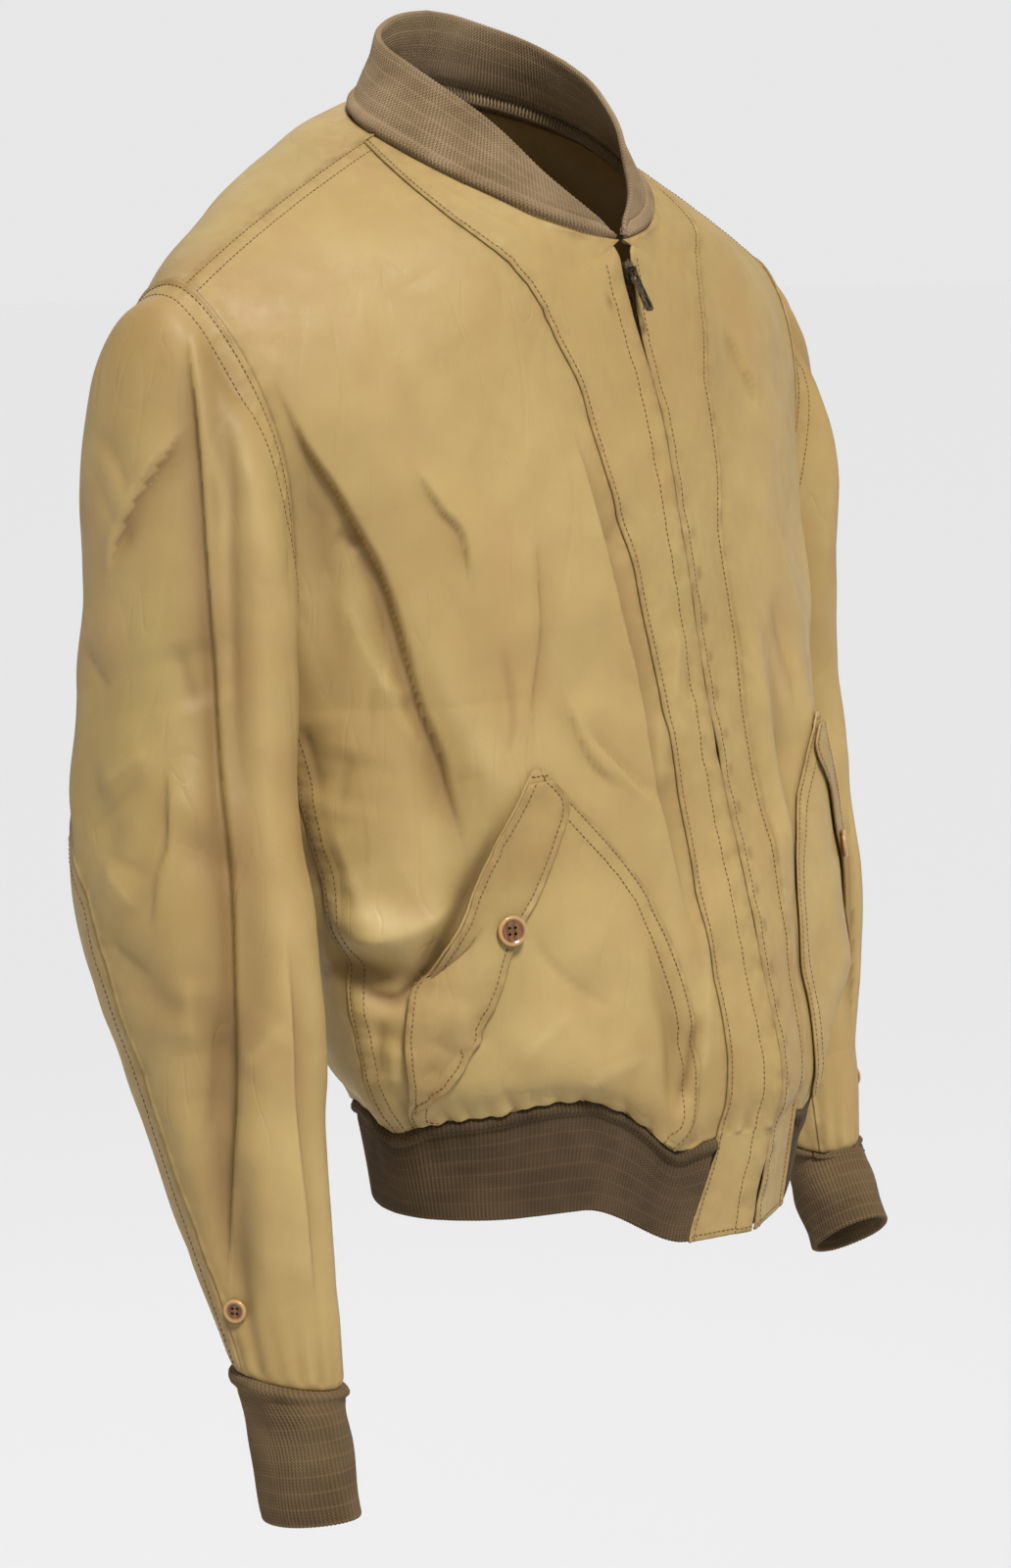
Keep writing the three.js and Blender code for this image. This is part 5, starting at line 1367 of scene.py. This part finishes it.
def rib_band(node, points, normals, wale, heights, material, closed=False):
    """A ribbed wall from points on its outer face, from its seam to its free edge, which is folded round."""
    columns, rows = points.shape[:2]
    beyond = unit(points[:, -1] - points[:, -2])
    n = normals[:, -1]
    middle = points[:, -1] - n * KNIT / 2
    inner = list(range(rows - 1, -1, -2))
    folded = [n * math.cos(a) + beyond * math.sin(a) for a in ROUND_EDGE]
    loop = [points[:, j] for j in range(rows)]
    loop += [middle + KNIT / 2 * out for out in folded]
    loop += [points[:, j] - normals[:, j] * KNIT for j in inner]
    out = [normals[:, j] for j in range(rows)] + folded + [-normals[:, j] for j in inner]
    loop, out = np.stack(loop, 1), np.stack(out, 1)
    ridge = np.abs(np.cos(np.pi * wale / RIB_PITCH)) ** 0.7
    loop = loop + out * (RIB_HEIGHT * (ridge - 0.6))[:, None, None]
    size = loop.shape[1]
    quads = grid_quads(columns, size, closed, looped=True)
    every = loop.reshape(-1, 3)
    corner, across, up = (every[quads[:, c]] for c in (0, 1, 3))
    if (np.cross(across - corner, up - corner) * out.reshape(-1, 3)[quads[:, 0]]).sum() < 0:
        quads = quads[:, ::-1]
    faces = quads.tolist()
    if not closed:
        faces, every = cap_ends(faces, every, columns, size)
    extra = np.zeros(len(every) - columns * size)
    edge = heights[-1]
    depth = np.concatenate([heights, edge + ROUND_EDGE_DEPTHS, edge + EDGE_DEPTH + edge - heights[inner]])
    attributes = {
        "wale": np.concatenate([np.repeat(wale, size), extra]),
        "course": np.concatenate([np.tile(depth, columns), extra]),
        "rib": np.concatenate([np.repeat(ridge, size), extra]),
    }
    obj = place(make_object(f"{node}_knit", every, faces, attributes, material), "rib_knit", node)


def cap_ends(faces, points, columns, size):
    """Closes both ends of a band with a fan of triangles."""
    count = len(points)
    ends = [list(range(size)), list(range((columns - 1) * size, columns * size))]
    used = {(face[k - 1], face[k]) for face in faces for k in range(4)}
    for number, end in enumerate(ends):
        middle = count + number
        for a, b in zip(end, end[1:] + end[:1]):
            faces.append([b, a, middle] if (a, b) in used else [a, b, middle])
    return faces, np.concatenate([points, [points[end].mean(0) for end in ends]])


COLLAR_ROUND = 8


def collar():
    t = np.linspace(NECK_ROW, SHOULDER_ROW, 160)
    stretches = (("front", RIGHT, t), ("back", RIGHT, t[::-1]), ("back", LEFT, t), ("front", LEFT, t[::-1]))
    lines = [torso_base(half, side, np.ones_like(t), level) for half, side, level in stretches]
    line = np.concatenate([lines[0][:1], *(stretch[1:] for stretch in lines)])
    run = path_length(line)
    ribs = int((run[-1] - 2 * ZIP_MOUTH) / RIB_PITCH)
    wale = np.arange(ribs * RIB_STEPS + 1) * RIB_PITCH / RIB_STEPS
    foot = resample(line, run, wale + (run[-1] - wale[-1]) / 2)
    away = (foot - NECK_CENTRE) * (1, 1, 0)
    up = np.array([0, 0, math.cos(COLLAR_LEAN)]) - unit(away) * math.sin(COLLAR_LEAN)
    out = unit(away - up * dot(away, up))
    from_end = np.minimum(wale, wale[-1] - wale)
    rise = np.sin(np.pi / 2 * np.minimum(from_end / COLLAR_RISE, 1))
    height = COLLAR_END_HEIGHT + (COLLAR_HEIGHT - COLLAR_END_HEIGHT) * rise
    height = height * np.sqrt(1 - 0.75 * (1 - np.minimum(from_end / COLLAR_ROUND, 1)) ** 2) - KNIT / 2
    roll_top = np.minimum(ROLL_HEIGHT, 0.7 * height)[:, None]
    low = np.array([-0.7, -0.15, 0.08, 0.2, 0.36, 0.55, 0.75, 0.9, 1.0])
    high = np.linspace(0, 1, 16)[1:]
    levels = np.concatenate([roll_top * low, roll_top + (height[:, None] - roll_top) * high], 1)
    curl = 2.5 * smooth((levels - 30) / 17)
    soft = 0.8 * ripple(foot, 60, 21)[:, None] * smooth(levels / 20)
    stand = roll(levels / roll_top * ROLL_HEIGHT) + curl + soft - tucked(levels)
    points = foot[:, None] + up[:, None] * levels[..., None] + out[:, None] * stand[..., None]
    normals = grid_normals(points, out[:, None])
    rib_band("collar", points, normals, wale, levels[len(levels) // 2], COLLAR_LOOK)


WAIST_ROWS = np.array([1.06, 1.01, 0.985, 0.96, 0.92, 0.885, 0.86, 0.84, *np.linspace(0.8, 0.028, 13)])
WAIST_STRETCHES = (("front", RIGHT, 1, 0), ("back", RIGHT, 0, 1), ("back", LEFT, 1, 0), ("front", LEFT, 0, 1))
WAIST_MIDDLE = 10


def waistband():
    rows = WAIST_ROWS
    drop = (BAND_SEAM - rows) * BAND_HEIGHT
    grids, wales, start = [], [], 0.0
    for half, side, first, last in WAIST_STRETCHES:
        shares = np.linspace(first, last, 300)
        seam = panel_seam(side, rows) if half == "front" else np.ones_like(rows)
        run = path_length(torso_base(half, side, shares * seam[WAIST_MIDDLE], np.full_like(shares, 0.5)))
        ribs = round(run[-1] / RIB_PITCH)
        places = np.linspace(0, run[-1], ribs * RIB_STEPS + 1)
        s = np.interp(places, run, shares)[:, None] * seam
        level = np.broadcast_to(rows, s.shape)
        points = torso_base(half, side, s, level)
        out = torso_normal(half, side, s, level)
        wave = 0.9 * pucker(s + 0.3 * side, 0.08) * np.exp(-drop / 24) + 0.8 * ripple(points, 80, 31)
        points = points + out * (roll(drop) + wave * smooth(drop / 8) - tucked(drop))[..., None]
        keep = slice(1 if grids else 0, None)
        grids.append(points[keep])
        wales.append(start + (np.arange(len(places)) * RIB_PITCH / RIB_STEPS)[keep])
        start += ribs * RIB_PITCH
    points = np.concatenate(grids)
    normals = grid_normals(points, (points - points.mean((0, 1))) * (1, 1, 0))
    rib_band("waistband", points, normals, np.concatenate(wales), drop, BAND_LOOK)


# Cuffs: the way each hangs, and its half widths across and from back to front
CUFFS = {
    RIGHT: ((-1, -15, -78), 19, 33),
    LEFT: ((-18, -40, -58), 21, 30),
}
CUFF_ROLL_ROWS = (-0.06, -0.01, 0.012, 0.03, 0.055, 0.08, 0.105, 0.125, 0.15)
CUFF_ROWS = np.array([*CUFF_ROLL_ROWS, *np.linspace(0.19, 0.98, 17)])


def cuff_base(side, u, f):
    hang, across, deep = CUFFS[side]
    hang = np.array(hang, float)
    centre, ring_out, ring_forward = (np.array(v, float) for v in SLEEVE_RINGS[side][-1])
    axis = unit(hang)
    outward = unit(np.array([1, 0, 0]) - axis * axis[0])
    forward = unit(np.array([0, -1, 0]) + axis * axis[1] + outward * outward[1])
    share = smooth(f / 0.35)[..., None]
    a = ring_out * (1 - share) + outward * across * share
    b = ring_forward * (1 - share) + forward * deep * share
    angle = (2 * np.pi * u)[..., None]
    return (centre + hang * f[..., None] + a * np.cos(angle) + b * np.sin(angle)) * (side, 1, 1)


def cuff(name, side):
    turn = np.linspace(0, 1, 600)
    run = path_length(cuff_base(side, turn, np.full_like(turn, 0.5)))
    ribs = round(run[-1] / RIB_PITCH)
    places = np.arange(ribs * RIB_STEPS)
    u = np.interp(places / (ribs * RIB_STEPS) * run[-1], run, turn)[:, None]
    f = np.broadcast_to(CUFF_ROWS, (len(u), len(CUFF_ROWS)))
    u = np.broadcast_to(u, f.shape)
    points = cuff_base(side, u, f)
    out = base_normal(lambda a, b: cuff_base(side, a, b), u, np.clip(f, INSET, 1 - INSET)) * side
    height = f * CUFF_LENGTH
    slack = 1.6 * ripple(points, 46, 41 + side) * smooth((f - 0.15) / 0.4)
    slack = slack + 0.8 * pucker(u, 0.11) * np.exp(-height / 16)
    points = points + out * (roll(height) + slack * smooth(height / 8) - tucked(height))[..., None]
    wale = places * RIB_PITCH / RIB_STEPS
    rib_band(f"cuff_{name}", points, out, wale, CUFF_ROWS * CUFF_LENGTH, CUFF_LOOK, closed=True)


# Zip
TAPE_INNER, TAPE_OUTER = 4.6, 15
TAPE_THICKNESS = 0.9
TAPE_BEHIND = LEATHER + 0.7
TAPE_FOOT, TAPE_HEAD = 0.03, 5.93
CHAIN_FOOT, CHAIN_HEAD = 0.04, 5.8
CHAIN_DEPTH = LEATHER + 1.9
TOOTH_PITCH = 1.9
TOOTH_DEPTH = 2.2
TOOTH_OUTLINE = [
    (-2.9, -0.62), (-0.9, -0.62), (-0.2, -0.34), (0.7, -0.5), (0.9, 0),
    (0.7, 0.5), (-0.2, 0.34), (-0.9, 0.62), (-2.9, 0.62),
]
# Depth and width of a tooth's rings
TOOTH_RINGS = ((0, 0.82), (0.35, 1), (TOOTH_DEPTH - 0.35, 1), (TOOTH_DEPTH, 0.82))


def zip_tape(name, side):
    rows = np.linspace(TAPE_FOOT, TAPE_HEAD, 230)
    widths = np.linspace(TAPE_INNER, TAPE_OUTER, 5)
    s = np.stack([s_at_width(side, rows, np.full_like(rows, w)) for w in widths])
    points, out, _ = torso_surface("front", side, s, np.broadcast_to(rows, s.shape))
    normals = grid_normals(points, out)
    points = points - normals * TAPE_BEHIND
    obj = grid_shell(f"zip_tape_{name}_woven", points, normals, TAPE_THICKNESS, {}, TAPE_LOOK)
    place(obj, "zip_tape", f"zip_tape_{name}")


def zip_chain():
    """Two rows of teeth that mesh between the tapes."""
    t = np.linspace(CHAIN_FOOT, CHAIN_HEAD, 500)
    ones = np.ones_like(t)
    line, out, _ = torso_surface("front", RIGHT, ones, t)
    out = unit(out + torso_normal("front", LEFT, ones, t))
    run = path_length(line)
    places = np.arange(1, run[-1] - 1, TOOTH_PITCH / 2)
    at, n = resample(line, run, places), unit(resample(out, run, places))
    ahead = unit(np.gradient(at, axis=0))
    across = unit(np.cross(ahead, n))
    size = len(TOOTH_OUTLINE)
    points, faces = [], []
    for k in range(len(places)):
        hand = 1 if k % 2 else -1
        first = len(points)
        for depth, shrink in TOOTH_RINGS:
            ring = at[k] - n[k] * (CHAIN_DEPTH + depth)
            points += [ring + across[k] * x * hand + ahead[k] * y * shrink for x, y in TOOTH_OUTLINE]
        end = len(points)
        made = [list(range(first, first + size))[::-1], list(range(end - size, end))]
        made += ring_quads(len(TOOTH_RINGS), size, first)
        faces += [face[::-1] for face in made] if hand > 0 else made
    obj = make_object("zip_chain_teeth", np.array(points), faces, {}, BRASS_LOOK)
    obj.data.set_sharp_from_angle(angle=math.radians(40))
    place(obj, "aged_brass", "zip_chain")


METAL_ROUNDING = 0.35


def metal_pieces():
    for node in ("zip_slider", "zip_pull"):
        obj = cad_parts[node]
        obj.data.materials.clear()
        obj.data.materials.append(BRASS_LOOK)
        rounded = obj.modifiers.new("rounded", "BEVEL")
        rounded.width = METAL_ROUNDING * MM
        rounded.segments = 3
        rounded.limit_method = "ANGLE"


# Buttons: radius and height, and where the holes and threads are, as shares of the radius
POCKET_BUTTON = (8.5, 3.4)
SLEEVE_BUTTON = (6.5, 3.0)
BUTTON_SIDES = 48
HOLE_RADIUS = 0.95
HOLE_PLACE = 0.2
THREAD_REACH = 0.26
THREAD_POINTS = 9


def button(name, radius, height):
    """A four-hole button with a raised rim and thread through its holes, seated where its solid is."""
    own = np.array([v.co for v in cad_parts[name].data.vertices], float) / MM
    middle = own.mean(0)
    axis = np.linalg.svd(own - middle)[2][-1]
    axis = axis * np.sign(axis @ (middle * (1, 1, 0) - (0, -60, 0)))
    foot = middle - axis * ((middle - own) @ axis).max()
    x = unit(np.cross((0, 0, 1), axis))
    y = np.cross(axis, x)
    profile = [
        (0.6, 0), (radius - 1.4, 0), (radius - 0.5, 0.35), (radius, 1.1), (radius, height - 1.2),
        (radius - 0.35, height - 0.35), (radius - 1.1, height), (radius - 1.9, height - 0.25),
        (radius - 2.6, height - 0.95), (radius - 3.6, height - 1.2), (0.6, height - 1.25),
    ]
    points, rim = [], []
    for r, z in profile:
        for angle in np.arange(BUTTON_SIDES) * 2 * np.pi / BUTTON_SIDES:
            points.append(foot + x * r * math.cos(angle) + y * r * math.sin(angle) + axis * z)
            rim.append(float(smooth((r - radius + 2.4) / 0.8)) if z > 0.6 * height else 0.0)
    top = len(points) - BUTTON_SIDES
    faces = ring_quads(len(profile), BUTTON_SIDES)
    faces += [list(range(BUTTON_SIDES))[::-1], list(range(top, len(points)))]
    obj = make_object(f"{name}_disc", np.array(points), faces, {"rim": rim}, BUTTON_LOOK)
    cut_holes(obj, foot, x, y, axis, radius, height)
    place(obj, "button", name)
    span = np.linspace(-1, 1, THREAD_POINTS)[:, None] * radius * THREAD_REACH
    lines = []
    for turn in (-1, 1):
        line = foot + x * turn * radius * HOLE_PLACE + y * span + axis * (height - 1.1)
        lines.append((line, np.tile(axis, (THREAD_POINTS, 1))))
    place(stitches(f"{name}_thread", lines, THREAD_LOOK), "leather")


def cut_holes(obj, foot, x, y, axis, radius, height):
    """Cuts four round holes through a button."""
    turn = Matrix(np.stack([x, y, axis], 1).tolist()).to_4x4()
    for i in (-1, 1):
        for j in (-1, 1):
            at = (foot + (x * i + y * j) * radius * HOLE_PLACE + axis * height / 2) * MM
            bpy.ops.mesh.primitive_cylinder_add(vertices=16, radius=HOLE_RADIUS * MM, depth=3 * height * MM)
            drill = bpy.context.object
            drill.matrix_world = Matrix.Translation(Vector(at)) @ turn
            cut = obj.modifiers.new("hole", "BOOLEAN")
            cut.object = drill
            bpy.context.view_layer.objects.active = obj
            bpy.ops.object.modifier_apply(modifier=cut.name)
            bpy.data.objects.remove(drill)
    obj.data.set_sharp_from_angle(angle=math.radians(50))


# The jacket
back_panel()
collar()
waistband()
for name, side in SIDES.items():
    front_side(name, side)
    front_centre(name, side)
    sleeve_pieces(name, side)
    cuff(name, side)
    pocket_pieces(name, side)
    zip_tape(name, side)
    button(f"pocket_button_{name}", *POCKET_BUTTON)
    button(f"sleeve_button_{name}", *SLEEVE_BUTTON)
zip_chain()
metal_pieces()

# Camera, at the photograph's angle
CAMERA_AT = Vector((-1.5316, -1.3289, -0.0403))
CAMERA_AIM = Vector((-0.0433, -0.0352, -0.3738))
CAMERA_ROLL = math.radians(-1.3)
CAMERA_LENS = 78.75


def camera():
    data = bpy.data.cameras.new("camera")
    data.lens = CAMERA_LENS
    data.sensor_width = 36
    obj = bpy.data.objects.new("camera", data)
    bpy.context.scene.collection.objects.link(obj)
    ahead = (CAMERA_AIM - CAMERA_AT).normalized()
    right = ahead.cross(Vector((0, 0, 1))).normalized()
    up = right.cross(ahead)
    rolled = right * math.cos(CAMERA_ROLL) + up * math.sin(CAMERA_ROLL)
    raised = up * math.cos(CAMERA_ROLL) - right * math.sin(CAMERA_ROLL)
    turn = Matrix((rolled, raised, -ahead)).transposed().to_4x4()
    obj.matrix_world = Matrix.Translation(CAMERA_AT) @ turn
    bpy.context.scene.camera = obj


# Studio: a pale floor below the jacket and soft lights round it
FLOOR_LEVEL = -1.6
FLOOR_RADIUS = 60
FLOOR_GREY = 0.615
HORIZON_STRENGTH = 0.8
SKY_STRENGTH = 0.32
LIGHT_AIM = Vector((0, 0, -0.33))
LIGHT_DISTANCE = 3
# Kind, azimuth, elevation, angle or size, and power
LIGHTS = {
    "key": ("SUN", -24, 55, math.radians(14), 3.75),
    "back": ("AREA", 150, 40, 2.0, 14),
}


def studio():
    at = (0, 0, FLOOR_LEVEL)
    bpy.ops.mesh.primitive_circle_add(vertices=96, radius=FLOOR_RADIUS, fill_type="NGON", location=at)
    floor = bpy.context.object
    floor.name = "floor"
    look = Nodes("pale_floor")
    look.shader.inputs["Base Color"].default_value = (FLOOR_GREY, FLOOR_GREY, FLOOR_GREY, 1)
    look.shader.inputs["Roughness"].default_value = 0.9
    floor.data.materials.append(look.material)
    sky()
    for name, (kind, azimuth, elevation, size, power) in LIGHTS.items():
        a, e = math.radians(azimuth), math.radians(elevation)
        away = Vector((math.sin(a) * math.cos(e), -math.cos(a) * math.cos(e), math.sin(e)))
        data = bpy.data.lights.new(name, kind)
        setattr(data, "angle" if kind == "SUN" else "size", size)
        data.energy = power
        light = bpy.data.objects.new(name, data)
        bpy.context.scene.collection.objects.link(light)
        light.location = LIGHT_AIM + away * LIGHT_DISTANCE
        light.rotation_mode = "QUATERNION"
        light.rotation_quaternion = away.to_track_quat("Z", "Y")


def sky():
    """A white band at the height of the horizon, and a dimmer sky above it."""
    world = bpy.context.scene.world or bpy.data.worlds.new("studio")
    bpy.context.scene.world = world
    world.use_nodes = True
    nodes, links = world.node_tree.nodes, world.node_tree.links
    level = nodes.new("ShaderNodeSeparateXYZ")
    links.new(nodes.new("ShaderNodeTexCoord").outputs["Generated"], level.inputs[0])
    strength = nodes.new("ShaderNodeMapRange")
    limits = {"From Min": 0.1, "From Max": 0.2, "To Min": HORIZON_STRENGTH, "To Max": SKY_STRENGTH}
    for key, value in limits.items():
        strength.inputs[key].default_value = value
    links.new(level.outputs["Z"], strength.inputs["Value"])
    links.new(strength.outputs[0], nodes["Background"].inputs["Strength"])
    nodes["Background"].inputs["Color"].default_value = (1, 1, 1, 1)


camera()
studio()
bpy.context.scene.view_settings.view_transform = "Standard"
